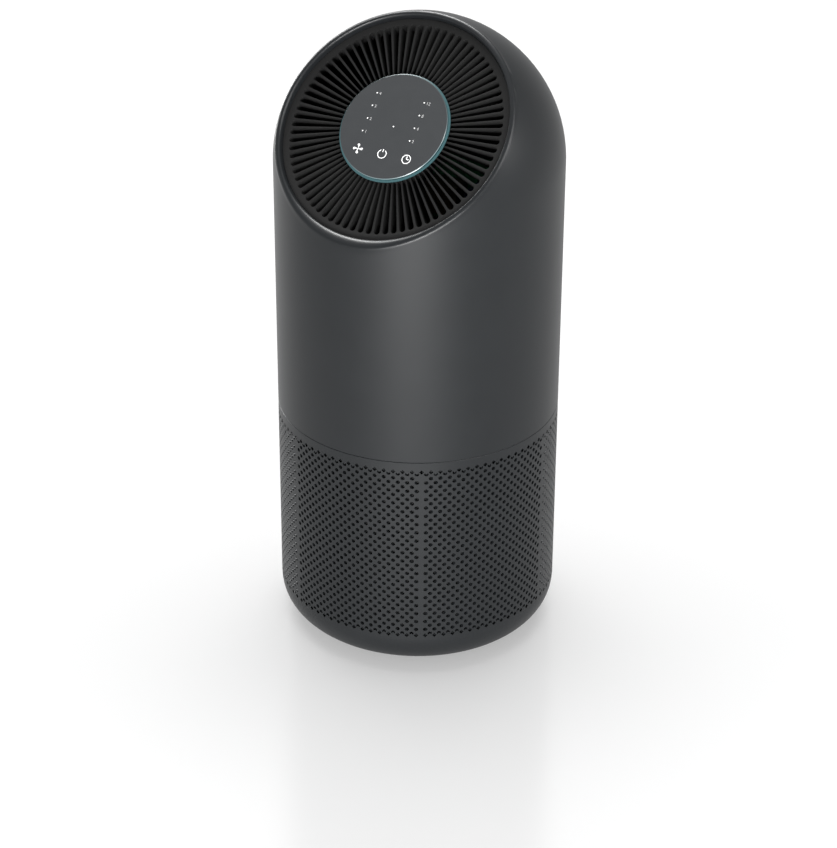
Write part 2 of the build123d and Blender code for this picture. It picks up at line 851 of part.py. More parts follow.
pieces = {
    "inlet_sleeve": inlet_sleeve,
    "rubber_feet": rubber_feet,
    "filter_bottom_cap": filter_bottom_cap,
    "filter_top_cap": filter_top_cap,
    "filter_media": filter_media,
    "carbon_layer": carbon_layer,
    "prefilter_net": prefilter_net,
    "filter_gasket": filter_gasket,
    "upper_housing": upper_housing,
    "outlet_grille": outlet_grille,
    "control_cup": control_cup,
    "light_ring": light_ring,
    "touch_glass": touch_glass,
    "control_board": control_board,
    "indicator_leds": indicator_leds,
    "key_contacts": key_contacts,
    "control_screws": control_screws,
    "fan_deck": fan_deck,
    "inlet_guard": inlet_guard,
    "fan_casing": fan_casing,
    "deck_screws": deck_screws,
    "impeller": impeller,
    "hub_nut": hub_nut,
    "diffuser": diffuser,
    "motor_can": motor_can,
    "motor_end_cap": motor_end_cap,
    "motor_bearings": motor_bearings,
    "motor_stator": motor_stator,
    "motor_rotor": motor_rotor,
    "motor_shaft": motor_shaft,
    "motor_grommets": motor_grommets,
    "motor_screws": motor_screws,
    "power_board": power_board,
    "power_transformer": power_transformer,
    "power_capacitors": power_capacitors,
    "board_screws": board_screws,
    "dust_sensor": dust_sensor,
    "power_socket": power_socket,
    "socket_pin": socket_pin,
}
for name, piece in pieces.items():
    piece.part.label = name
    export_step(piece.part, f"parts/{name}.step")
    print(name, len(piece.part.solids()), "solids", round(piece.part.volume), "mm3")
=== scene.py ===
# %% [markdown]
# # A tower air purifier, dressed for the studio
# The solids of this purifier are already built and packed: they are the fixed frame. This script
# loads that frame, makes finer meshes for the surfaces that show most, gives every piece a
# finish made of nodes, and puts the tower on a white studio floor.

# %% Load the frame
import bmesh
import bpy
from math import acos, asin, atan2, cos, degrees, hypot, pi, radians, sin, sqrt, tan, tau
from mathutils import Matrix, Vector


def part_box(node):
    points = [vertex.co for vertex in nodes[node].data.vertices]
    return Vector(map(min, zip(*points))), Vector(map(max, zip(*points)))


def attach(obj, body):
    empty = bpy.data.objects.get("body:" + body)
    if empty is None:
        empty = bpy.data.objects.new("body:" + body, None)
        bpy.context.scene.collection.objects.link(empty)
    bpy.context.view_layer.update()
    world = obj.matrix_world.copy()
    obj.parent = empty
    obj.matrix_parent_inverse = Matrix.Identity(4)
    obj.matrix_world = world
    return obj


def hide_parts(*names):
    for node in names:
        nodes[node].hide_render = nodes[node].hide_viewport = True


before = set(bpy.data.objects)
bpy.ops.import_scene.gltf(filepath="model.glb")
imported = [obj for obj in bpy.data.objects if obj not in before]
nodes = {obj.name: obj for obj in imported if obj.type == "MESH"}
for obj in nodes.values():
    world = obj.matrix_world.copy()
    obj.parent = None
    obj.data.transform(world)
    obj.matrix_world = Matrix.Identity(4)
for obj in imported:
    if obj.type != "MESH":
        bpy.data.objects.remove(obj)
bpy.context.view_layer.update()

# %% [markdown]
# ## Measures
# Every length is in metres. What the frame can tell is read from the boxes of its nodes, and the
# few sizes that no box holds, such as the slant of the outlet, are written here once. The outlet
# has its own axis through the middle of the dome, so a small helper turns "radius, angle, height
# along that axis" into a point of the room.

# %% Measures of the tower
MM = 0.001
sleeve_low, sleeve_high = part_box("inlet_sleeve")
BODY_RADIUS = sleeve_high.x
SEAM_GAP = 0.6 * MM
SEAM_LINE = 0.2 * MM
WALL = 3.0 * MM
BASE_ROUND = 26.0 * MM
DOME_Z = 356.0 * MM
OUTLET_TILT = radians(45.0)
RIM_DISTANCE = 53.2 * MM
GRILLE_TOP = 48.8 * MM
INNER_RADIUS = BODY_RADIUS - WALL
SEAM_Z = sleeve_high.z + SEAM_GAP / 2
CUP_TOP = SEAM_Z - SEAM_LINE / 2
HOUSING_BOTTOM = SEAM_Z + SEAM_LINE / 2

DOME_CENTER = Vector((0, 0, DOME_Z))
HEAD_UP = Vector((0, -sin(OUTLET_TILT), cos(OUTLET_TILT)))
HEAD_BACK = Vector((0, cos(OUTLET_TILT), sin(OUTLET_TILT)))
HEAD_RIGHT = Vector((1, 0, 0))


def on_body(radius, angle, height):
    """A point round the tower's upright axis."""
    return Vector((radius * cos(angle), radius * sin(angle), height))


def on_head(radius, angle, height):
    """A point round the slanted axis of the outlet."""
    across = HEAD_RIGHT * (radius * cos(angle)) + HEAD_BACK * (radius * sin(angle))
    return DOME_CENTER + across + HEAD_UP * height


def on_disc(x, y, height):
    """A point on the control disc, with y towards its upper edge."""
    return DOME_CENTER + HEAD_RIGHT * x + HEAD_BACK * y + HEAD_UP * height


print("body radius", BODY_RADIUS, "rim centre", tuple(round(v, 4) for v in on_head(0, 0, RIM_DISTANCE)))

# %% [markdown]
# ## Finishes as expressions
# A Blender material is a graph of nodes. Wiring each node by hand hides the idea, so a `Signal`
# wraps one output socket and lets Python's own `+ - *` add the Math nodes. A `Finish` owns one
# material: its `node` method makes any other node, and `look` fills the sockets of the shader.


# %% Signal and Finish
class Signal:
    """One value on its way through the nodes of a finish."""

    def __init__(self, finish, socket):
        self.finish = finish
        self.socket = socket

    def math(self, operation, first, second):
        return self.finish.node("ShaderNodeMath", {"operation": operation}, {0: first, 1: second})

    def __add__(self, other):
        return self.math("ADD", self, other)

    __radd__ = __add__

    def __sub__(self, other):
        return self.math("SUBTRACT", self, other)

    def __rsub__(self, other):
        return self.math("SUBTRACT", other, self)

    def __mul__(self, other):
        return self.math("MULTIPLY", self, other)

    __rmul__ = __mul__


class Finish:
    """A material in the making, with its nodes and its Principled shader."""

    def __init__(self, name):
        self.material = bpy.data.materials.new(name)
        self.material.use_nodes = True
        self.tree = self.material.node_tree
        self.shader = self.tree.nodes["Principled BSDF"]

    def feed(self, socket, value):
        if isinstance(value, Signal):
            self.tree.links.new(value.socket, socket)
        else:
            socket.default_value = value

    def node(self, kind, settings=None, inputs=None, output=0):
        made = self.tree.nodes.new(kind)
        for name, value in (settings or {}).items():
            setattr(made, name, value)
        for name, value in (inputs or {}).items():
            self.feed(made.inputs[name], value)
        return Signal(self, made.outputs[output])

    def look(self, sockets):
        for name, value in sockets.items():
            self.feed(self.shader.inputs[name], value)
        return self.material

    def glowing(self, base, rough, glow, strength=1.0):
        """A look that adds light of its own."""
        return self.look({"Base Color": base, "Roughness": rough, "Emission Color": glow,
                          "Emission Strength": strength})

    def place(self):
        return self.node("ShaderNodeTexCoord", output="Object")

    def along(self, direction):
        """How far a place lies along a direction, in metres."""
        return self.node("ShaderNodeVectorMath", {"operation": "DOT_PRODUCT"},
                         {0: self.place(), 1: tuple(direction)}, output="Value")

    def noise(self, grain, detail, stretch=(1, 1, 1)):
        """Noise whose spots are about one grain across, in metres."""
        scaled = self.node("ShaderNodeMapping", inputs={"Vector": self.place(), "Scale": stretch})
        return self.node("ShaderNodeTexNoise",
                         inputs={"Vector": scaled, "Scale": 1 / grain, "Detail": detail})

    def between(self, low, high, factor):
        """A number that runs from low to high as the factor runs from 0 to 1."""
        return factor * (high - low) + low

    def mix(self, first, second, factor):
        """A colour between two colours."""
        return self.node("ShaderNodeMix", {"data_type": "RGBA"}, {0: factor, 6: first, 7: second},
                         output=2)

    def bump(self, height, depth):
        """A surface normal from a height signal, with the depth in metres."""
        return self.node("ShaderNodeBump",
                         inputs={"Height": height, "Distance": depth, "Strength": 1.0})


def grey(level, blue=0.0):
    """A neutral colour, a little bluer if asked."""
    return (level, level * (1 + blue / 2), level * (1 + blue), 1.0)


print("finish kit ready")

# %% [markdown]
# ## The finishes
# The shell is charcoal plastic with a fine satin grain: the grain is noise of about a third of a
# millimetre that shifts colour and roughness a little and lifts the surface by a few thousandths
# of a millimetre. Its mould is polished at the outlet's rim, which is therefore smoother and draws a
# bright line round the grille. The other plastics, rubbers and metals share the same recipe with
# their own grain, so one function makes them. Paper, net, board and brushed steel need patterns of
# their own.

# %% Grained plastics, rubbers and castings
POLISH_STARTS = 4.0 * MM
POLISH_IS_FULL = 2.0 * MM
PATCH_GRAINS = 60
FINE_SHARE = 0.6


def rim_zone(finish):
    """1 on the outlet's rim and 0 on the rest of the shell, from the height along the outlet's axis."""
    top = HEAD_UP.dot(DOME_CENTER) + RIM_DISTANCE
    return finish.node("ShaderNodeMapRange", inputs={
        "Value": finish.along(HEAD_UP), "From Min": top - POLISH_STARTS,
        "From Max": top - POLISH_IS_FULL})


def grained(name, dark, light, grain, rough, depth, metallic=0.0, specular=0.5, polish=0.0):
    """A moulded or cast surface: two near colours, uneven roughness and a fine raised grain."""
    finish = Finish(name)
    fine = finish.noise(grain, detail=3.0)
    broad = finish.noise(grain * PATCH_GRAINS, detail=1.0)
    tone = fine * FINE_SHARE + broad * (1 - FINE_SHARE)
    roughness = finish.between(rough[0], rough[1], tone)
    if polish:
        roughness = roughness - rim_zone(finish) * polish
    return finish.look({
        "Base Color": finish.mix(dark, light, tone),
        "Roughness": roughness,
        "Metallic": metallic,
        "Specular IOR Level": specular,
        "Normal": finish.bump(fine, depth),
    })


SHELL = grained("charcoal_shell", grey(0.007, 0.25), grey(0.011, 0.25), 0.35 * MM,
                (0.42, 0.48), 0.005 * MM, specular=0.28, polish=0.10)
GRILLE_BLACK = grained("grille_black", grey(0.012), grey(0.015), 0.3 * MM, (0.42, 0.5),
                       0.006 * MM, specular=0.05)
INNER_BLACK = grained("inner_black", grey(0.045), grey(0.060), 0.5 * MM, (0.55, 0.65), 0.012 * MM)
FAN_BLACK = grained("fan_black", grey(0.045), grey(0.060), 0.5 * MM, (0.5, 0.6), 0.010 * MM)
CAP_GREY = grained("filter_cap_grey", grey(0.30), grey(0.36), 0.4 * MM, (0.5, 0.6), 0.01 * MM)
RUBBER = grained("black_rubber", grey(0.012), grey(0.020), 0.6 * MM, (0.72, 0.85), 0.02 * MM,
                 specular=0.3)
IRON = grained("laminated_iron", grey(0.10), grey(0.16), 0.5 * MM, (0.45, 0.6), 0.01 * MM,
               metallic=0.8)
MAGNET = grained("coated_magnet", grey(0.05), grey(0.08), 0.4 * MM, (0.4, 0.5), 0.01 * MM,
                 metallic=0.5)
TAPE = grained("transformer_tape", (0.020, 0.014, 0.006, 1), (0.030, 0.020, 0.008, 1), 1.0 * MM,
               (0.35, 0.5), 0.01 * MM)
SLEEVING = grained("capacitor_sleeve", (0.01, 0.015, 0.05, 1), (0.015, 0.02, 0.07, 1), 0.5 * MM,
                   (0.3, 0.4), 0.004 * MM)
print("moulded finishes:", len(bpy.data.materials))

# %% [markdown]
# The glass of the control disc is smoked and satin, so fingers leave no prints. Its colour hardly
# varies; a broad, faint change in roughness keeps the reflection from looking computed. The light
# ring under it is a teal light guide that glows by itself. Its light is painted onto the polished
# edge of the glass as a teal glow, strongest at the lower right, and as a faint painted glow in its
# dark upright side. The printed signs are white ink with a faint painted glow.

# %% Control disc finishes
# Where the painted teal glow on the glass edge is strongest, and how far it fades.
GLOW_SIDE = (HEAD_RIGHT * 0.6 - HEAD_BACK * 0.8).normalized()
GLOW_REACH = 38.0 * MM


def smoked_glass():
    finish = Finish("smoked_glass")
    haze = finish.noise(6 * MM, detail=3.0)
    return finish.look({
        "Base Color": finish.mix(grey(0.024, 0.16), grey(0.027, 0.16), haze),
        "Roughness": finish.between(0.40, 0.46, haze),
        "Specular IOR Level": 0.38,
    })


def lit_edge():
    """Polished glass with a painted teal glow that grows towards one side of the disc."""
    finish = Finish("glass_edge_painted_glow")
    middle = GLOW_SIDE.dot(on_head(0, 0, GRILLE_TOP))
    share = (finish.along(GLOW_SIDE) - middle) * (0.5 / GLOW_REACH) + 0.5
    glow = finish.mix((0.002, 0.004, 0.004, 1), (0.22, 0.33, 0.35, 1), share * share * share)
    return finish.glowing(grey(0.05, 0.1), 0.2, glow)


def glass_side():
    """The upright side of the pane: dark, with a faint painted teal glow in it."""
    finish = Finish("glass_side")
    depth = finish.noise(3 * MM, detail=1.0)
    glow = finish.mix((0.004, 0.024, 0.027, 1), (0.010, 0.040, 0.044, 1), depth)
    return finish.glowing((0.004, 0.014, 0.016, 1), 0.15, glow)


def light_guide():
    finish = Finish("teal_light_guide")
    streak = finish.noise(2 * MM, detail=1.0)
    glow = finish.mix((0.026, 0.058, 0.064, 1), (0.036, 0.076, 0.084, 1), streak)
    return finish.glowing((0.012, 0.04, 0.045, 1), 0.3, glow)


# Ink that also gives a faint painted glow in its own colour.
def ink(name, low, high):
    finish = Finish(name)
    cover = finish.noise(0.2 * MM, detail=2.0)
    tone = finish.mix(grey(low), grey(high), cover)
    return finish.glowing(tone, 0.6, tone, 0.25)


GLASS = smoked_glass()
GLASS_EDGE_PAINTED_GLOW = lit_edge()
GLASS_SIDE_PAINTED_GLOW = glass_side()
LIGHT = light_guide()
WHITE_INK_PAINTED_GLOW = ink("white_ink_painted_glow", 0.68, 0.80)
PALE_INK_PAINTED_GLOW = ink("pale_ink_painted_glow", 0.28, 0.36)
print("disc finishes:", [finish.name for finish in (GLASS, GLASS_EDGE_PAINTED_GLOW, GLASS_SIDE_PAINTED_GLOW, LIGHT, WHITE_INK_PAINTED_GLOW, PALE_INK_PAINTED_GLOW)])

# %% [markdown]
# The hidden pieces get honest finishes as well, because the tower can be opened: steel with fine
# brushing, filter paper with fibres, black carbon cloth, a woven net and green circuit boards. A
# wave of scale 1 repeats about every 0.314 units, which gives the net its pitch.

# %% Finishes of the inner pieces
NET_PITCH = 1.2 * MM
WAVE_LENGTH = 0.314
TRACK_PITCH = 4.0 * MM


def brushed(name, dark, light, rough):
    """Metal brushed along the tower: noise drawn out in one direction."""
    finish = Finish(name)
    lines = finish.noise(0.25 * MM, detail=2.0, stretch=(1, 1, 0.04))
    return finish.look({
        "Base Color": finish.mix(dark, light, lines),
        "Roughness": finish.between(rough[0], rough[1], lines),
        "Metallic": 1.0,
        "Normal": finish.bump(lines, 0.003 * MM),
    })


def fibrous(name, dark, light, fibre, depth):
    """Paper or felt: long noise along one direction crossed with fine noise."""
    finish = Finish(name)
    threads = finish.noise(fibre, detail=4.0, stretch=(1, 1, 0.15))
    felt = finish.noise(fibre * 0.5, detail=3.0)
    tone = threads * 0.5 + felt * 0.5
    return finish.look({"Base Color": finish.mix(dark, light, tone), "Roughness": 0.9,
                        "Specular IOR Level": 0.2, "Normal": finish.bump(tone, depth)})


def woven_net():
    """A fine net: two sets of bands round and up the cartridge."""
    finish = Finish("woven_net")
    up, across = (
        finish.node("ShaderNodeTexWave",
                    {"wave_type": "BANDS", "wave_profile": "SIN", "bands_direction": direction},
                    {"Vector": finish.place(), "Scale": WAVE_LENGTH / NET_PITCH})
        for direction in "ZX")
    thread = finish.node("ShaderNodeMath", {"operation": "MAXIMUM"}, {0: up, 1: across})
    return finish.look({"Base Color": finish.mix(grey(0.006), grey(0.03), thread),
                        "Roughness": 0.75, "Normal": finish.bump(thread, 0.1 * MM)})


def solder_mask():
    """A circuit board: green lacquer over faint copper lines."""
    finish = Finish("circuit_board")
    tracks = finish.node("ShaderNodeTexVoronoi", {"distance": "MANHATTAN", "feature": "F1"},
                         {"Vector": finish.place(), "Scale": 1 / TRACK_PITCH})
    return finish.look({"Base Color": finish.mix((0.006, 0.07, 0.03, 1), (0.012, 0.13, 0.05, 1),
                                                 tracks),
                        "Roughness": finish.between(0.3, 0.45, tracks),
                        "Normal": finish.bump(tracks, 0.03 * MM)})


STEEL = brushed("brushed_steel", grey(0.42), grey(0.55), (0.25, 0.4))
ZINC = brushed("zinc_plate", grey(0.36, 0.06), grey(0.48, 0.06), (0.35, 0.5))
PAPER = fibrous("filter_paper", grey(0.62), grey(0.78), 0.4 * MM, 0.03 * MM)
CARBON = fibrous("carbon_cloth", grey(0.006), grey(0.016), 0.6 * MM, 0.08 * MM)
NET = woven_net()
BOARD = solder_mask()
LED = grained("clear_led", grey(0.6), grey(0.7), 0.5 * MM, (0.2, 0.3), 0.002 * MM)

NODE_FINISH = {
    "filter_bottom_cap": CAP_GREY, "filter_top_cap": CAP_GREY, "filter_media": PAPER,
    "carbon_layer": CARBON, "prefilter_net": NET, "filter_gasket": RUBBER,
    "control_cup": INNER_BLACK, "light_ring": LIGHT,
    "control_board": BOARD, "indicator_leds": LED, "key_contacts": RUBBER,
    "control_screws": STEEL, "fan_deck": INNER_BLACK, "inlet_guard": INNER_BLACK,
    "fan_casing": INNER_BLACK, "deck_screws": STEEL, "diffuser": FAN_BLACK,
    "motor_can": ZINC, "motor_end_cap": ZINC, "motor_bearings": STEEL, "motor_stator": IRON,
    "motor_grommets": RUBBER, "motor_screws": STEEL, "power_board": BOARD,
    "power_transformer": TAPE, "power_capacitors": SLEEVING, "board_screws": STEEL,
    "dust_sensor": INNER_BLACK, "power_socket": INNER_BLACK, "socket_pin": STEEL,
    "impeller": FAN_BLACK, "hub_nut": STEEL, "motor_rotor": MAGNET, "motor_shaft": STEEL,
}
for node, material in NODE_FINISH.items():
    nodes[node].data.materials.clear()
    nodes[node].data.materials.append(material)
print("carried-over nodes with a finish:", len(NODE_FINISH))

# %% [markdown]
# ## Making a piece
# Each finer mesh starts as a `Shape`: a list of points and a list of faces. It can add simple
# solids, such as what a lathe would turn, a slice of a ring or a straight bar, and all of them join
# one line or ring of points to the next. Its `piece` method makes the object: it turns all faces
# outwards, smooths the shading but keeps true edges sharp, hangs the piece on its body and hides
# the solids it stands for.

# %% Shape
SHARP_ANGLE = radians(35)
SLICE_STEPS = 6


def add_to_scene(name, data):
    thing = bpy.data.objects.new(name, data)
    bpy.context.scene.collection.objects.link(thing)
    return thing


def arc(center, radius, start, end, steps):
    """Points (x, y) along an arc, from a start angle to an end angle in degrees."""
    turns = [radians(start + (end - start) * i / steps) for i in range(steps + 1)]
    return [(center[0] + radius * cos(t), center[1] + radius * sin(t)) for t in turns]


def circle(center, radius, sides):
    """The corners (x, y) of a many-sided circle."""
    return arc(center, radius, 0, 360, sides)[:-1]


class Shape:
    """The points and faces of a mesh in the making."""

    def __init__(self):
        self.points = []
        self.faces = []

    def add(self, points):
        """Adds points and returns their numbers."""
        first = len(self.points)
        self.points.extend(points)
        return list(range(first, len(self.points)))

    def join_lines(self, near, far):
        """Adds the faces between two lines of points."""
        for i in range(len(near) - 1):
            self.faces.append((near[i], near[i + 1], far[i + 1], far[i]))

    def join_rings(self, rings):
        """Adds the faces between each ring of points and the next."""
        for lower, upper in zip(rings, rings[1:]):
            self.join_lines(lower + lower[:1], upper + upper[:1])

    def close(self, *rings):
        """Adds one flat face inside each ring of points."""
        self.faces += [tuple(ring) for ring in rings]

    def rings_round(self, profile, steps, place):
        """Adds a ring of points for each (radius, height) of a profile."""
        return [self.add([place(radius, tau * i / steps, height) for i in range(steps)])
                for radius, height in profile]

    def turned(self, profile, steps, place):
        """Adds a solid with a profile of (radius, height), as a lathe would turn it."""
        rings = self.rings_round(profile, steps, place)
        self.join_rings(rings)
        self.close(rings[0], rings[-1])

    def slice_of_ring(self, outer, inner, low, high, start, sweep):
        """Adds a slice of a flat ring round the tower's axis, with its angles in degrees."""
        corners = [(outer, low), (outer, high), (inner, high), (inner, low)]
        turns = [radians(start + sweep * step / SLICE_STEPS) for step in range(SLICE_STEPS + 1)]
        rings = [self.add([on_body(radius, turn, height) for radius, height in corners])
                 for turn in turns]
        self.join_rings(rings)
        self.close(rings[0], rings[-1])

    def bar(self, outline, along):
        """Adds a straight bar with an outline of points at its near end."""
        near = self.add(outline)
        far = self.add([point + along for point in outline])
        self.close(near, far)
        self.join_rings([near, far])

    def mesh(self, name):
        mesh = bpy.data.meshes.new(name)
        mesh.from_pydata([tuple(point) for point in self.points], [], self.faces)
        return mesh

    def solid(self, name):
        """A mesh with all its faces turned outwards."""
        mesh = self.mesh(name)
        work = bmesh.new()
        work.from_mesh(mesh)
        bmesh.ops.recalc_face_normals(work, faces=work.faces)
        work.to_mesh(mesh)
        work.free()
        return mesh

    def piece(self, name, material, body, slot, replaced=()):
        mesh = self.solid(name)
        mesh.shade_smooth()
        mesh.set_sharp_from_angle(angle=SHARP_ANGLE)
        mesh.materials.append(material)
        piece = add_to_scene(name, mesh)
        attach(piece, body)
        if replaced:
            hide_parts(*replaced)
        print(name, len(self.points), "points", len(self.faces), "faces")
        return piece


print("shape kit ready")

# %% [markdown]
# ## The perforated inlet cup
# The wall has 96 columns and 40 rows of 3 mm holes, set like the dark squares of a chessboard that
# stands on its corner. A boolean cut with thousands of cylinders is slow and shades badly. The
# chessboard gives a better way: every hole sits in its own diamond, the diamonds meet corner to
# corner with no gaps, and each one is a ring of faces between its four corners and the round hole.
#
# The cup is moulded with six slides that pull outwards, one for each panel. So all the holes of a
# panel are parallel, and a bare strip is left where two slides meet. That is why the panels that
# face the viewer look black with holes and those at the sides hardly show any.

# %% Wall of the inlet cup
HOLE_COLUMNS = 96
HOLE_ROWS = 40
HOLE_RADIUS = 1.45 * MM
HOLE_SIDES = 10
TOP_ROW_Z = 164.0 * MM
BOTTOM_ROW_Z = 33.7 * MM
PANELS = 6
EDGE_ROUND = 0.25 * MM
BASE_STEPS_OUTSIDE = 14
BASE_STEPS_INSIDE = 10
CUP_INNER = BODY_RADIUS - 2.2 * MM
FOOT_HEIGHT = sleeve_low.z
ROW_STEP = (TOP_ROW_Z - BOTTOM_ROW_Z) / (HOLE_ROWS - 1)
HALF_PITCH = tau / HOLE_COLUMNS / 2
STRIP = HOLE_COLUMNS // PANELS


def along_slide(column, aside, radius):
    """The angle where a line parallel to its panel's slide meets a radius of the wall."""
    angle = column * HALF_PITCH
    middle = (column // (2 * STRIP) + 0.5) * tau / PANELS
    return middle + asin((BODY_RADIUS * sin(angle - middle) + aside) / radius)


def row_height(row):
    return TOP_ROW_Z - row * ROW_STEP


class CupWall(Shape):
    """The shape of the cup, with the corners that neighbouring diamonds share."""

    def __init__(self):
        super().__init__()
        self.corners = {}

    def spot(self, radius, angle, height):
        return self.add([on_body(radius, angle, height)])[0]

    def corner(self, column, row, radius):
        column %= 2 * HOLE_COLUMNS
        key = (column, row, radius)
        if key not in self.corners:
            on_strip = column % (2 * STRIP) == 0
            angle = column * HALF_PITCH if on_strip else along_slide(column, 0, radius)
            self.corners[key] = self.spot(radius, angle, row_height(row))
        return self.corners[key]

    def diamond(self, column, row, radius, pierced):
        """One side of a diamond, as a ring of faces round its hole or as one plain face."""
        ends = [self.corner(column + 1, row, radius), self.corner(column, row - 1, radius),
                self.corner(column - 1, row, radius), self.corner(column, row + 1, radius)]
        if not pierced:
            self.close(ends)
            return []
        ring = []
        for i in range(HOLE_SIDES):
            turn = tau * i / HOLE_SIDES
            angle = along_slide(column, HOLE_RADIUS * cos(turn), radius)
            ring.append(self.spot(radius, angle, row_height(row) + HOLE_RADIUS * sin(turn)))
        for i in range(HOLE_SIDES):
            j = (i + 1) % HOLE_SIDES
            here, there = (ends[round(4 * k / HOLE_SIDES) % 4] for k in (i, j))
            if here == there:
                self.faces.append((here, ring[j], ring[i]))
            else:
                self.faces.append((here, there, ring[j], ring[i]))
        return ring

    def perforate(self):
        for row in range(HOLE_ROWS):
            for index in range(HOLE_COLUMNS):
                column = 2 * index + 1 - row % 2
                pierced = column % (2 * STRIP) != 0
                outer = self.diamond(column, row, BODY_RADIUS, pierced)
                inner = self.diamond(column, row, CUP_INNER, pierced)
                if pierced:
                    self.join_rings([outer, inner])

    def zigzag_edge(self, row, inwards, odd, radius):
        """Fills the zigzag beyond the last row of diamonds and returns the straight edge."""
        edge = [self.corner(2 * i + odd, row, radius) for i in range(HOLE_COLUMNS)]
        for i in range(HOLE_COLUMNS):
            between = self.corner(2 * i + odd + 1, row + inwards, radius)
            self.faces.append((edge[i], edge[(i + 1) % HOLE_COLUMNS], between))
        return edge

    def rings(self, profile, odd):
        """One ring of points for each (radius, height) of a profile."""
        return [[self.spot(radius, (2 * i + odd) * HALF_PITCH, height) for i in range(HOLE_COLUMNS)]
                for radius, height in profile]

    def rim(self):
        profile = [(BODY_RADIUS, CUP_TOP - EDGE_ROUND), (BODY_RADIUS - EDGE_ROUND, CUP_TOP),
                   (CUP_INNER, CUP_TOP)]
        outer, inner = (self.zigzag_edge(-1, 1, 0, radius) for radius in (BODY_RADIUS, CUP_INNER))
        self.join_rings([outer] + self.rings(profile, 0) + [inner])

    def base(self):
        spot = (BODY_RADIUS - BASE_ROUND, FOOT_HEIGHT + BASE_ROUND)
        wall = BODY_RADIUS - CUP_INNER
        outside = arc(spot, BASE_ROUND, 0, -90, BASE_STEPS_OUTSIDE)
        inside = arc(spot, BASE_ROUND - wall, 0, -90, BASE_STEPS_INSIDE)
        for radius, profile in ((BODY_RADIUS, outside), (CUP_INNER, inside)):
            edge = self.zigzag_edge(HOLE_ROWS, -1, 1, radius)
            rings = [edge] + self.rings(profile, 1)
            self.join_rings(rings)
            self.close(rings[-1])


cup = CupWall()
cup.perforate()
cup.rim()
cup.base()
print("rows of holes every", round(ROW_STEP / MM, 2), "mm")

# %% [markdown]
# Inside the cup, a ring carries the filter, and four hooks near the top hold the upper housing once
# it is twisted. A small stop at one end of each hook marks the closed position. These blocks reach
# a little into the wall that carries them, so they can share one mesh with it.

# %% Inside of the inlet cup
SKIRT_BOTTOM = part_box("upper_housing")[0].z
SKIRT_RADIUS = INNER_RADIUS - 4.6 * MM
LUG_HEIGHT = 4.0 * MM
HOOKS = 4
HOOK_PITCH = 360 / HOOKS
HOOK_START = 37.0
HOOK_SWEEP = 16.0
STOP_SWEEP = 2.5
HOOK_LOW = SKIRT_BOTTOM + LUG_HEIGHT + 0.3 * MM
HOOK_HIGH = HOOK_LOW + 4.0 * MM
HOOK_ROOT = CUP_INNER + 0.6 * MM
HOOK_END = SKIRT_RADIUS + 0.6 * MM
SEAT_ROOT = FOOT_HEIGHT + 1.5 * MM
SEAT_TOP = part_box("filter_bottom_cap")[0].z
SEAT_INNER = 52.0 * MM
SEAT_OUTER = 56.0 * MM
SEAT_STEPS = 72


def inside_of_cup(shape):
    """Adds the ring that the filter stands on and the four hooks, each with its stop."""
    seat = [(SEAT_INNER, SEAT_ROOT), (SEAT_OUTER, SEAT_ROOT), (SEAT_OUTER, SEAT_TOP),
            (SEAT_INNER, SEAT_TOP)]
    rings = shape.rings_round(seat, SEAT_STEPS, on_body)
    shape.join_rings(rings + rings[:1])
    for hook in range(HOOKS):
        start = HOOK_START + HOOK_PITCH * hook
        shape.slice_of_ring(HOOK_ROOT, HOOK_END, HOOK_LOW, HOOK_HIGH, start, HOOK_SWEEP)
        shape.slice_of_ring(HOOK_ROOT, HOOK_END, SKIRT_BOTTOM, HOOK_HIGH, start - STOP_SWEEP, STOP_SWEEP)


inside_of_cup(cup)
cup.piece("inlet_cup_shell", SHELL, "inlet_cup", "charcoal_shell", ["inlet_sleeve"])

# %% [markdown]
# ## The upper housing
# The housing is a capsule, a cylinder under a half sphere of the same radius, cut off by a plane
# at 45 degrees. Each upright line on the wall climbs until it meets that plane, so the mesh is made
# of such lines: up the outside, over the rounded rim, down the lip to the grille, and back down the
# inside. The rim's outer rounding is a ball rolled along the edge, worked out from the two surface
# normals that meet there. Inside it, a quarter of an ellipse rolls over to the lip, and it is longer
# at the front, where the plane cuts the wall at a flatter angle.

# %% Wall and rim of the upper housing
HOUSING_LINES = 240
HOUSING_ROWS = 56
RIM_STEPS = 8
RIM_ROUND = 3.0 * MM
LIP_ROUND = 3.2 * MM
RIM_FLAT = 0.1 * MM
LIP_INSET = 0.1 * MM
LIP_THICKNESS = 4.0 * MM
COLLAR_DEPTH = 12.0 * MM
COLLAR_WALL = 2.5 * MM
LEDGE_WIDTH = 2.2 * MM
LEDGE_HEIGHT = 3.0 * MM
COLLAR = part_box("outlet_grille")[1].x + 0.3 * MM
LIP_TOP = COLLAR + LIP_INSET


def line_top(angle, radius, distance):
    """The length of an upright line on a capsule, from the dome's foot up to the slanted plane."""
    lean, lift = -sin(OUTLET_TILT) * sin(angle), cos(OUTLET_TILT)
    rise = (distance / radius - lean) / lift
    if rise <= 0:
        return rise * radius
    return (atan2(lift, lean) - acos(distance / radius / hypot(lean, lift))) * radius


def on_capsule(angle, radius, length):
    """The point and normal at a length along an upright line, from the dome's foot upwards."""
    level = on_body(1, angle, 0)
    if length <= 0:
        return DOME_CENTER + level * radius + Vector((0, 0, length)), level
    normal = level * cos(length / radius) + Vector((0, 0, sin(length / radius)))
    return DOME_CENTER + normal * radius, normal


def wall_line(angle, radius, low, high, rows):
    """Points up an upright line at even steps, between two lengths from the dome's foot."""
    return [on_capsule(angle, radius, low + (high - low) * row / rows)[0] for row in range(rows + 1)]


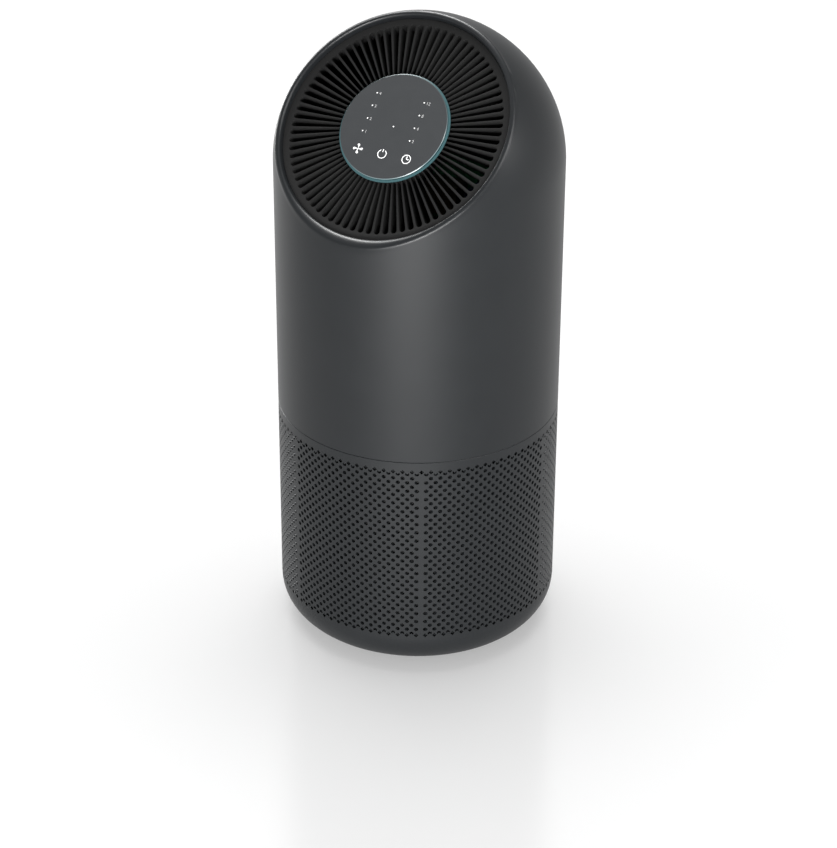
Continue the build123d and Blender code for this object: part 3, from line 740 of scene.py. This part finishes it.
def rounded_edge(angle):
    """Points over the rim's outer edge, from the wall to the flat land."""
    point, normal = on_capsule(angle, BODY_RADIUS, line_top(angle, BODY_RADIUS, RIM_DISTANCE))
    turn = acos(normal.dot(HEAD_UP))
    setback = RIM_ROUND * tan(turn / 2)
    along = (normal - HEAD_UP * normal.dot(HEAD_UP)).normalized()
    ball = point - along * setback - HEAD_UP * RIM_ROUND
    return [ball + normal.slerp(HEAD_UP, i / RIM_STEPS) * RIM_ROUND for i in range(RIM_STEPS + 1)]


def lip_profile(land):
    """Radius and height along the outlet's axis, from the edge of the land down to the collar."""
    reach = land - RIM_FLAT - LIP_TOP
    low = GRILLE_TOP - COLLAR_DEPTH
    ledge = COLLAR - LEDGE_WIDTH
    over = [(LIP_TOP + reach * (1 + x), RIM_DISTANCE + LIP_ROUND * (y - 1))
            for x, y in arc((0, 0), 1, 90, 180, 2 * RIM_STEPS)]
    return over + [
        (COLLAR, GRILLE_TOP),
        (COLLAR, low + LEDGE_HEIGHT),
        (ledge, low + LEDGE_HEIGHT),
        (ledge, low),
        (COLLAR + COLLAR_WALL, low),
        (COLLAR + COLLAR_WALL, RIM_DISTANCE - LIP_THICKNESS),
    ]


print("collar radius", round(COLLAR / MM, 1), "mm")

# %% [markdown]
# At its lower end the wall steps in to a flange, which the fan deck stands on, and goes on as a
# narrower skirt that reaches down into the cup. Every line of the mesh is closed, so two neighbours
# are joined all the way round and the shell has no open edge.

# %% Upper housing
SKIRT_INNER = SKIRT_RADIUS - 2.4 * MM
FLANGE_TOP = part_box("fan_deck")[0].z
FLANGE_BOTTOM = FLANGE_TOP - WALL


def housing_line(angle):
    """One closed line of points: up the outside, over the rim and down the inside."""
    line = [on_body(BODY_RADIUS - EDGE_ROUND, angle, HOUSING_BOTTOM)]
    low = HOUSING_BOTTOM + EDGE_ROUND - DOME_Z
    high = line_top(angle, BODY_RADIUS, RIM_DISTANCE) - RIM_ROUND
    line += wall_line(angle, BODY_RADIUS, low, high, HOUSING_ROWS)
    line += rounded_edge(angle)
    flat = line[-1] - DOME_CENTER
    across, back = flat.dot(HEAD_RIGHT), flat.dot(HEAD_BACK)
    turn = atan2(back, across)
    line += [on_head(radius, turn, height) for radius, height in lip_profile(hypot(across, back))]
    high = line_top(angle, INNER_RADIUS, RIM_DISTANCE - LIP_THICKNESS)
    line += reversed(wall_line(angle, INNER_RADIUS, FLANGE_TOP - DOME_Z, high, HOUSING_ROWS // 2))
    skirt = [(SKIRT_INNER, FLANGE_TOP), (SKIRT_INNER, SKIRT_BOTTOM), (SKIRT_RADIUS, SKIRT_BOTTOM),
             (SKIRT_RADIUS, FLANGE_BOTTOM), (INNER_RADIUS, FLANGE_BOTTOM),
             (INNER_RADIUS, HOUSING_BOTTOM)]
    return line + [on_body(radius, angle, height) for radius, height in skirt]


shell = Shape()
lines = [shell.add(housing_line(tau * i / HOUSING_LINES)) for i in range(HOUSING_LINES)]
shell.join_rings(lines + lines[:1])
housing = shell.piece("upper_shell", SHELL, "upper_unit", "charcoal_shell", ["upper_housing"])

# %% [markdown]
# The back wall has a round opening for the low-voltage socket, and the left side has four short
# slots through which the dust sensor draws its air. There are only five openings, so a boolean is
# the quick way here: bars of the right outline are taken out of the wall.

# %% Openings in the housing
CUT_REACH = 6.0 * MM
SOCKET_GAP = 0.15 * MM
SOCKET_SIDES = 48
VENTS = 4
VENT_HEIGHT = 12.0 * MM
VENT_WIDTH = 1.6 * MM
VENT_STEP = 5.0 * MM
socket_low, socket_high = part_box("power_socket")
sensor_low, sensor_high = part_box("dust_sensor")
socket_z = (socket_low.z + socket_high.z) / 2
vent_z = (sensor_low.z + sensor_high.z) / 2


def opening_bars():
    """One round bar through the back wall and four flat ones through the left side."""
    shape = Shape()
    mouth = circle((0, socket_z), socket_high.x + SOCKET_GAP, SOCKET_SIDES)
    shape.bar([Vector((x, BODY_RADIUS - CUT_REACH, z)) for x, z in mouth], Vector((0, 2 * CUT_REACH, 0)))
    for vent in range(VENTS):
        side = (vent - (VENTS - 1) / 2) * VENT_STEP
        corners = [(side + i * VENT_WIDTH / 2, vent_z + j * VENT_HEIGHT / 2)
                   for i, j in ((-1, -1), (1, -1), (1, 1), (-1, 1))]
        shape.bar([Vector((-BODY_RADIUS - CUT_REACH, y, z)) for y, z in corners],
                  Vector((2 * CUT_REACH, 0, 0)))
    return shape


def cut_openings(piece, shape):
    """Takes bars out of a piece and makes the new edges sharp."""
    bars = add_to_scene("openings", shape.solid("openings"))
    cut = piece.modifiers.new("openings", "BOOLEAN")
    cut.operation = "DIFFERENCE"
    cut.solver = "MANIFOLD"
    cut.object = bars
    whole = piece.data
    graph = bpy.context.evaluated_depsgraph_get()
    piece.data = bpy.data.meshes.new_from_object(piece.evaluated_get(graph))
    piece.modifiers.clear()
    piece.data.set_sharp_from_angle(angle=SHARP_ANGLE)
    bpy.data.objects.remove(bars)
    print("openings cut:", len(whole.polygons), "faces became", len(piece.data.polygons))
    bpy.data.meshes.remove(whole)


cut_openings(housing, opening_bars())

# %% [markdown]
# Inside the housing, round bosses carry the power board and the dust sensor, and four lugs on the
# skirt slide under the hooks of the cup. They are separate small blocks, so they join as one piece.

# %% Bosses and lugs of the housing
BOSS_RADIUS = 3.2 * MM
BOSS_INSET = 6.0 * MM
BOSS_SIDES = 24
BOSS_ROOT = 1.0 * MM
SENSOR_BOSS_Y = 12.0 * MM
LUG_START = 38.0
LUG_SWEEP = 14.0
LUG_END = INNER_RADIUS - 0.6 * MM
LUG_ROOT = SKIRT_RADIUS - 1.2 * MM


def bosses_and_lugs():
    shape = Shape()
    for lug in range(HOOKS):
        shape.slice_of_ring(LUG_END, LUG_ROOT, SKIRT_BOTTOM, SKIRT_BOTTOM + LUG_HEIGHT,
                            LUG_START + HOOK_PITCH * lug, LUG_SWEEP)
    board_low, board_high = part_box("power_board")
    for x in (board_low.x + BOSS_INSET, board_high.x - BOSS_INSET):
        for z in (board_low.z + BOSS_INSET, board_high.z - BOSS_INSET):
            end = sqrt(INNER_RADIUS**2 - x**2) + BOSS_ROOT
            foot = [Vector((a, board_high.y, b)) for a, b in circle((x, z), BOSS_RADIUS, BOSS_SIDES)]
            shape.bar(foot, Vector((0, end - board_high.y, 0)))
    for y in (-SENSOR_BOSS_Y, SENSOR_BOSS_Y):
        foot = [Vector((sensor_low.x, a, b)) for a, b in circle((y, vent_z), BOSS_RADIUS, BOSS_SIDES)]
        shape.bar(foot, Vector((-INNER_RADIUS - sensor_low.x, 0, 0)))
    return shape


bosses_and_lugs().piece("housing_bosses", SHELL, "upper_unit", "charcoal_shell")

# %% [markdown]
# ## The outlet grille
# Seventy-eight slots run out from under the control disc, wider at the rim and round at their
# outer ends. The slats between them are what the eye sees, so the mesh follows the outline of each
# slot: down a small rounding, down the slot's wall and across the underside to the next slot. Each
# slot has a left and a right line of points on every level, and lines that face each other are
# joined. The hub under the disc lies a little lower, so the slots are open towards it at the top.

# %% Outlet grille
SLOTS = 78
SLOT_WIDE = 4.2 * MM
SLOT_NARROW = 2.2 * MM
SLOT_ROUND = 0.2 * MM
ROUND_MIDDLE = 0.3 * SLOT_ROUND
SLOT_STEPS = 3
TIP_STEPS = 6
GRILLE_DEPTH = 8.0 * MM
GRILLE_BOTTOM = GRILLE_TOP - GRILLE_DEPTH
GRILLE_RADIUS = COLLAR - 0.05 * MM
SLOT_END = COLLAR - 4.7 * MM
DISC_RADIUS = 38.1 * MM
HUB_TOP = GRILLE_TOP - 1.5 * MM
HUB_BORE = 33.3 * MM
SLOT_START = DISC_RADIUS + 0.3 * MM


def slot_outline(grow):
    """Half of a slot's outline as (radius, sideways), from its inner end to its tip."""
    tip = SLOT_END - SLOT_WIDE / 2
    narrow, wide = SLOT_NARROW / 2 + grow, SLOT_WIDE / 2 + grow
    shares = [i / SLOT_STEPS for i in range(SLOT_STEPS)]
    straight = [(SLOT_START + (tip - SLOT_START) * share, narrow + (wide - narrow) * share)
                for share in shares]
    return straight + arc((tip, 0), wide, 90, 0, TIP_STEPS)


def grille():
    shape = Shape()
    levels = [(SLOT_ROUND, GRILLE_TOP), (ROUND_MIDDLE, GRILLE_TOP - ROUND_MIDDLE),
              (0, GRILLE_TOP - SLOT_ROUND), (0, HUB_TOP), (0, GRILLE_BOTTOM)]
    rim = [(GRILLE_RADIUS - SLOT_ROUND, GRILLE_TOP), (GRILLE_RADIUS, GRILLE_TOP - SLOT_ROUND),
           (GRILLE_RADIUS, GRILLE_BOTTOM)]
    hub, bottom = len(levels) - 2, len(levels) - 1

    def add(slot, radius, sideways, height):
        turn = tau * slot / SLOTS + atan2(sideways, radius)
        return shape.add([on_head(hypot(radius, sideways), turn, height)])[0]

    left, right, edge, bore = [], [], [], []
    for slot in range(SLOTS):
        left.append([[add(slot, radius, -aside, height) for radius, aside in slot_outline(grow)]
                     for grow, height in levels])
        right.append([[add(slot, radius, aside, height) for radius, aside in slot_outline(grow)[:-1]]
                      + left[slot][level][-1:] for level, (grow, height) in enumerate(levels)])
        edge.append([left[slot][0][-1], *(add(slot, radius, 0, height) for radius, height in rim),
                     left[slot][bottom][-1]])
        bore.append([[add(slot, HUB_BORE, side * SLOT_NARROW / 2, height) for side in (-1, 1)]
                     for height in (HUB_TOP, GRILLE_BOTTOM)])
    for slot in range(SLOTS):
        after = (slot + 1) % SLOTS
        for level in range(bottom):
            shape.join_lines(left[slot][level], left[slot][level + 1])
            shape.join_lines(right[slot][level], right[slot][level + 1])
        for level in (0, bottom):
            shape.join_lines(right[slot][level], left[after][level])
        shape.join_lines(edge[slot], edge[after])
        inner = [[left[slot][level][0], right[slot][level][0], left[after][level][0]]
                 for level in range(len(levels))]
        upper, lower = ([*bore[slot][k], bore[after][k][0]] for k in (0, 1))
        for level in range(hub):
            shape.join_lines(inner[level][1:], inner[level + 1][1:])
        shape.join_lines(inner[hub][:2], inner[bottom][:2])
        shape.join_lines(inner[hub], upper)
        shape.join_lines(inner[bottom], lower)
        shape.join_lines(upper, lower)
    return shape


grille().piece("outlet_slats", GRILLE_BLACK, "upper_unit", "black_plastic", ["outlet_grille"])

# %% [markdown]
# ## The glass disc
# The disc is a flat pane with a narrow polished chamfer, turned from three points. The chamfer is
# the bright hairline round the disc, so its faces get the edge finish with the painted teal glow.
# The faces of the upright side come first in the mesh and get their dark finish with a faint
# painted glow, and the satin face keeps the glass.

# %% Glass disc
GLASS_TOP = 51.7 * MM
GLASS_BOTTOM = 49.9 * MM
GLASS_CHAMFER = 0.4 * MM
DISC_STEPS = 160

disc = Shape()
disc.turned([(DISC_RADIUS, GLASS_BOTTOM), (DISC_RADIUS, GLASS_TOP - GLASS_CHAMFER),
             (DISC_RADIUS - GLASS_CHAMFER, GLASS_TOP)], DISC_STEPS, on_head)
pane = disc.piece("glass_pane", GLASS, "upper_unit", "touch_glass", ["touch_glass"])
# The chamfer gets the painted teal glow of the edge, and the upright side a faint painted glow.
pane.data.materials.append(GLASS_EDGE_PAINTED_GLOW)
pane.data.materials.append(GLASS_SIDE_PAINTED_GLOW)
for face in pane.data.polygons[:DISC_STEPS]:
    face.material_index = 2
for face in pane.data.polygons[DISC_STEPS:2 * DISC_STEPS]:
    face.material_index = 1

# %% [markdown]
# ## Signs on the control disc
# The disc carries thin white print: three touch signs along its lower edge, two columns of marker
# dots with plain numbers, and a dot in the middle. Print has almost no thickness, so each sign is
# a flat shape a few hundredths of a millimetre thick that lies on the glass. Rings are bands of
# short pieces, hands and bars are strokes with round ends, and the blades of the fan are outlines
# worked out from a formula.

# %% Print on the disc
INK_THICK = 0.04 * MM
SIGN_Y = -20.4 * MM
SIGN_STEP = 18.4 * MM
SIGN_ASIDE = -0.7 * MM
SIGN_RADIUS = 3.3 * MM
SIGN_LINE = 0.55 * MM
BAND_STEPS = 40
STROKE_END_STEPS = 10
STROKE_START_STEPS = 8
POWER_GAP = 60.0
POWER_BAR_LOW = 0.45 * SIGN_RADIUS
POWER_BAR_HIGH = 1.02 * SIGN_RADIUS
LONG_HAND = 0.62 * SIGN_RADIUS
SHORT_HAND = 0.48 * SIGN_RADIUS
BLADES = 4
BLADE_STEPS = 14
BLADE_LENGTH = 1.1 * SIGN_RADIUS
BLADE_HALF = 0.25 * SIGN_RADIUS
STEM_HALF = 0.06 * SIGN_RADIUS
BLADE_LEAN = -5.0
BLADE_BEND = 12.0


class Print(Shape):
    """Flat shapes of ink on the glass, from outlines (x, y) on the disc."""

    def slab(self, outline):
        self.bar([on_disc(x, y, GLASS_TOP) for x, y in outline], HEAD_UP * INK_THICK)

    def band(self, center, start, sweep):
        """A band round a centre, such as the open ring of the power sign."""
        outer, inner = (arc(center, radius, start, start + sweep, BAND_STEPS)
                        for radius in (SIGN_RADIUS, SIGN_RADIUS - SIGN_LINE))
        for i in range(BAND_STEPS):
            self.slab([outer[i], outer[i + 1], inner[i + 1], inner[i]])

    def stroke(self, start, end):
        """A stroke with round ends."""
        lean = degrees(atan2(end[1] - start[1], end[0] - start[0]))
        outline = arc(end, SIGN_LINE / 2, lean - 90, lean + 90, STROKE_END_STEPS)
        outline += arc(start, SIGN_LINE / 2, lean + 90, lean + 270, STROKE_START_STEPS)
        self.slab(outline)


def fan_sign(signs, center):
    """Four blades like drops on thin stems, each bent a little as it goes outwards."""
    for blade in range(BLADES):
        outline = []
        for i in list(range(BLADE_STEPS + 1)) + list(range(BLADE_STEPS - 1, 0, -1)):
            share = i / BLADE_STEPS
            side = 1 if len(outline) <= BLADE_STEPS else -1
            half = side * (STEM_HALF * (1 - share) + BLADE_HALF * max(sin(pi * share**3), 0)**0.8)
            along = BLADE_LENGTH * share
            turn = tau * blade / BLADES + radians(BLADE_LEAN + BLADE_BEND * share)
            outline.append((center[0] + along * cos(turn) - half * sin(turn),
                            center[1] + along * sin(turn) + half * cos(turn)))
        signs.slab(outline)


def power_sign(signs, center):
    x, y = center
    signs.band(center, 90 + POWER_GAP / 2, 360 - POWER_GAP)
    signs.stroke((x, y + POWER_BAR_LOW), (x, y + POWER_BAR_HIGH))


def clock_sign(signs, center):
    x, y = center
    signs.band(center, 0, 360)
    signs.stroke(center, (x, y + LONG_HAND))
    signs.stroke(center, (x + SHORT_HAND, y))


signs = Print()
for step, sign in ((-1, fan_sign), (0, power_sign), (1, clock_sign)):
    sign(signs, (SIGN_ASIDE + step * SIGN_STEP, SIGN_Y))
signs.piece("touch_signs", WHITE_INK_PAINTED_GLOW, "upper_unit", "led")

# %% [markdown]
# Each marker is a dot with a plain number beside it. The numbers come from Blender's built-in font.
# A text object is a curve, so it is turned into a mesh, scaled to its real height and laid beside
# its dot.

# %% Marker dots and their numbers
DOT_LEFT = -20.6 * MM
DOT_RIGHT = 15.2 * MM
MARKERS = {DOT_LEFT: (4, 3, 2, 1), DOT_RIGHT: (12, 8, 4, 2)}
DOT_TOP = 20.8 * MM
DOT_STEP = 9.4 * MM
DOT_RADIUS = 0.48 * MM
DOT_SIDES = 20
LABEL_HEIGHT = 2.1 * MM
LABEL_GAP = 1.7 * MM


def number_mesh(text):
    """The flat triangles of a short text, as points and faces."""
    curve = bpy.data.curves.new("number", "FONT")
    curve.body = text
    holder = bpy.data.objects.new("number", curve)
    mesh = bpy.data.meshes.new_from_object(holder)
    points = [v.co.to_2d() for v in mesh.vertices]
    faces = [tuple(p.vertices) for p in mesh.polygons]
    bpy.data.objects.remove(holder)
    bpy.data.curves.remove(curve)
    bpy.data.meshes.remove(mesh)
    return points, faces


dots, labels = Print(), Print()
for x, column in MARKERS.items():
    for row, number in enumerate(column):
        y = DOT_TOP - DOT_STEP * row
        dots.slab(circle((x, y), DOT_RADIUS, DOT_SIDES))
        flat, outlines = number_mesh(str(number))
        size = LABEL_HEIGHT / max(point.y for point in flat)
        label = [(x + LABEL_GAP + point.x * size, y - LABEL_HEIGHT / 2 + point.y * size) for point in flat]
        for outline in outlines:
            labels.slab([label[i] for i in outline])
dots.slab(circle((0, 0), DOT_RADIUS, DOT_SIDES))
dots.piece("marker_dots", WHITE_INK_PAINTED_GLOW, "upper_unit", "led")
labels.piece("marker_numbers", PALE_INK_PAINTED_GLOW, "upper_unit", "led")

# %% [markdown]
# ## Rubber feet
# Four soft feet sit in the base. Only their lower ends show, as flat pads with a rounded edge, so
# each one is turned from a short profile.

# %% Feet
FOOT_RADIUS = 8.0 * MM
FOOT_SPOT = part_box("rubber_feet")[1].x - FOOT_RADIUS
FOOT_CORE = 0.3 * FOOT_RADIUS
FOOT_EDGE = 0.7 * MM
FOOT_EDGE_STEPS = 4
FOOT_STEPS = 40


def feet():
    shape = Shape()
    edge = arc((FOOT_RADIUS - FOOT_EDGE, FOOT_EDGE), FOOT_EDGE, -90, 0, FOOT_EDGE_STEPS)
    profile = [(FOOT_CORE, 0), *edge, (FOOT_RADIUS, FOOT_HEIGHT), (FOOT_CORE, FOOT_HEIGHT)]
    for x in (-FOOT_SPOT, FOOT_SPOT):
        for y in (-FOOT_SPOT, FOOT_SPOT):
            spot = Vector((x, y, 0))
            shape.turned(profile, FOOT_STEPS, lambda r, a, h: spot + on_body(r, a, h))
    return shape


feet().piece("foot_pads", RUBBER, "inlet_cup", "rubber", ["rubber_feet"])

# %% [markdown]
# ## The studio
# The tower stands on a white paper sweep: a flat floor that curves up into a wall all round. An
# even white sky lights the paper, and together with one large lamp it gives the soft shadow. The
# paper is smooth enough for a faint reflection of the base. It adds some light of its own for the
# camera and for reflections only, so that it reads as white and still keeps the shadow.

# %% Paper sweep and world
SWEEP_RADIUS = 5.0
SWEEP_BEND = 1.0
SWEEP_HEIGHT = 2.0
SWEEP_STEPS = 64
BEND_STEPS = 8
FLOOR_GLOW = 0.40
WALL_GLOW = 0.50
SKY_STRENGTH = 0.44


def white_paper(name, glow):
    finish = Finish(name)
    camera, mirror, through = (finish.node("ShaderNodeLightPath", output=f"Is {kind} Ray")
                               for kind in ("Camera", "Glossy", "Transmission"))
    fibre = finish.noise(0.8, detail=1.0)
    finish.look({"Specular IOR Level": 0.3})
    return finish.glowing(finish.mix(grey(0.57), grey(0.59), fibre), 0.18,
                          finish.mix(grey(0.0), grey(glow), camera + mirror + through))


def paper_sweep():
    """Rings of points from the middle of the floor out to the bend and up the wall."""
    profile = arc((SWEEP_RADIUS - SWEEP_BEND, SWEEP_BEND), SWEEP_BEND, -90, 0, BEND_STEPS)
    shape = Shape()
    rings = shape.rings_round(profile + [(SWEEP_RADIUS, SWEEP_HEIGHT)], SWEEP_STEPS, on_body)
    shape.close(reversed(rings[0]))
    shape.join_rings(rings)
    mesh = shape.mesh("paper_sweep")
    mesh.shade_smooth()
    mesh.materials.append(white_paper("white_floor", FLOOR_GLOW))
    mesh.materials.append(white_paper("white_wall", WALL_GLOW))
    for face in mesh.polygons[1:]:
        face.material_index = 1
    paper = add_to_scene("paper_sweep", mesh)
    return paper


sweep = paper_sweep()
world = bpy.data.worlds.new("studio")
world.use_nodes = True
sky = world.node_tree.nodes["Background"].inputs
sky["Color"].default_value = (1, 1, 1, 1)
sky["Strength"].default_value = SKY_STRENGTH
bpy.context.scene.world = world
print("paper sweep", 2 * SWEEP_RADIUS, "m across, sky", SKY_STRENGTH)

# %% [markdown]
# Each light is a rectangle that faces a point on the tower. Power is in watts, so a larger light
# of the same power is softer and dimmer in reflections. Directions are given as seen by the
# camera, because the bright band and the bright edges depend on where the camera stands: a low light
# in front draws the band up the wall, and those behind and beside the tower draw the rim. They are
# shaded off the paper, as with flags in a studio, so that they throw no hard shadows. One large
# light over the paper, which doesn't reach the tower, gives the soft shadow.

# %% Lights
CAMERA_AZIMUTH = radians(28.5)
MIDDLE = Vector((0, 0, 0.25))


def receivers(name, state):
    """A collection that says whether a light reaches the paper."""
    group = bpy.data.collections.new(name)
    group.objects.link(sweep)
    group.collection_objects[0].light_linking.link_state = state
    return group


NOT_THE_PAPER = receivers("not_the_paper", "EXCLUDE")
PAPER_ONLY = receivers("paper_only", "INCLUDE")


def soft_light(name, reaches, aside, distance, height, width, tall, power):
    """A light at an angle aside of the camera, in degrees to the right, facing the tower."""
    turn = CAMERA_AZIMUTH + radians(aside)
    place = Vector((distance * sin(turn), -distance * cos(turn), height))
    lamp = bpy.data.lights.new(name, "AREA")
    lamp.shape = "RECTANGLE"
    lamp.size = width
    lamp.size_y = tall
    lamp.energy = power
    holder = add_to_scene(name, lamp)
    holder.location = place
    holder.rotation_euler = (MIDDLE - place).to_track_quat("-Z", "Y").to_euler()
    holder.visible_camera = False
    holder.light_linking.receiver_collection = reaches
    print("light", name, power, "W")


# Degrees to the right of the camera, distance, height, width, tall, watts.
TOWER_LIGHTS = {
    "front_band": (-6, 1.5, 0.2, 1.0, 0.4, 40),
    "behind_side": (-147, 1.05, 1.5, 0.5, 0.5, 15),
    "behind_left": (-166, 1.03, 1.63, 0.5, 0.5, 16),
    "behind": (-183, 0.98, 1.66, 0.5, 0.5, 15),
    "left_edge": (-140, 1.5, 0.6, 0.5, 1.0, 26),
    "right_key": (46, 1.0, 1.2, 0.6, 0.6, 10),
    "right_side": (70, 1.5, 0.85, 0.5, 0.5, 6),
}
PAPER_LIGHT = (-174, 0.7, 1.7, 2.0, 2.0, 36)
for name, measures in TOWER_LIGHTS.items():
    soft_light(name, NOT_THE_PAPER, *measures)
soft_light("over_the_paper", PAPER_ONLY, *PAPER_LIGHT)

# %% [markdown]
# ## The camera
# The place and lens were worked out from the photograph: the round outline of the dome, the ellipse
# of the outlet and the rows of holes leave only one viewpoint that fits them all. It looks down on
# the tower from its front right.

# %% Camera
PHOTO_HEIGHT = 848
FOCAL_PIXELS = 2706.5
CAMERA_DISTANCE = 1.8559
CAMERA_ELEVATION = radians(23.662)
CAMERA_PITCH = radians(29.28)
CAMERA_ROLL = radians(0.315)
CAMERA_ASIDE = 0.33 * MM
SENSOR = 36.0

lens = bpy.data.cameras.new("photo_view")
lens.sensor_width = SENSOR
lens.lens = SENSOR * FOCAL_PIXELS / PHOTO_HEIGHT
camera = add_to_scene("photo_view", lens)
stand = Vector((CAMERA_ASIDE, -CAMERA_DISTANCE * cos(CAMERA_ELEVATION),
                CAMERA_DISTANCE * sin(CAMERA_ELEVATION)))
camera.matrix_world = (
    Matrix.Translation(DOME_CENTER)
    @ Matrix.Rotation(CAMERA_AZIMUTH, 4, "Z")
    @ Matrix.Translation(stand)
    @ Matrix.Rotation(pi / 2 - CAMERA_PITCH, 4, "X")
    @ Matrix.Rotation(CAMERA_ROLL, 4, "Z")
)
bpy.context.scene.camera = camera
bpy.context.scene.view_settings.view_transform = "Standard"
print("lens", round(lens.lens, 1), "mm at", tuple(round(v, 3) for v in camera.matrix_world.translation))
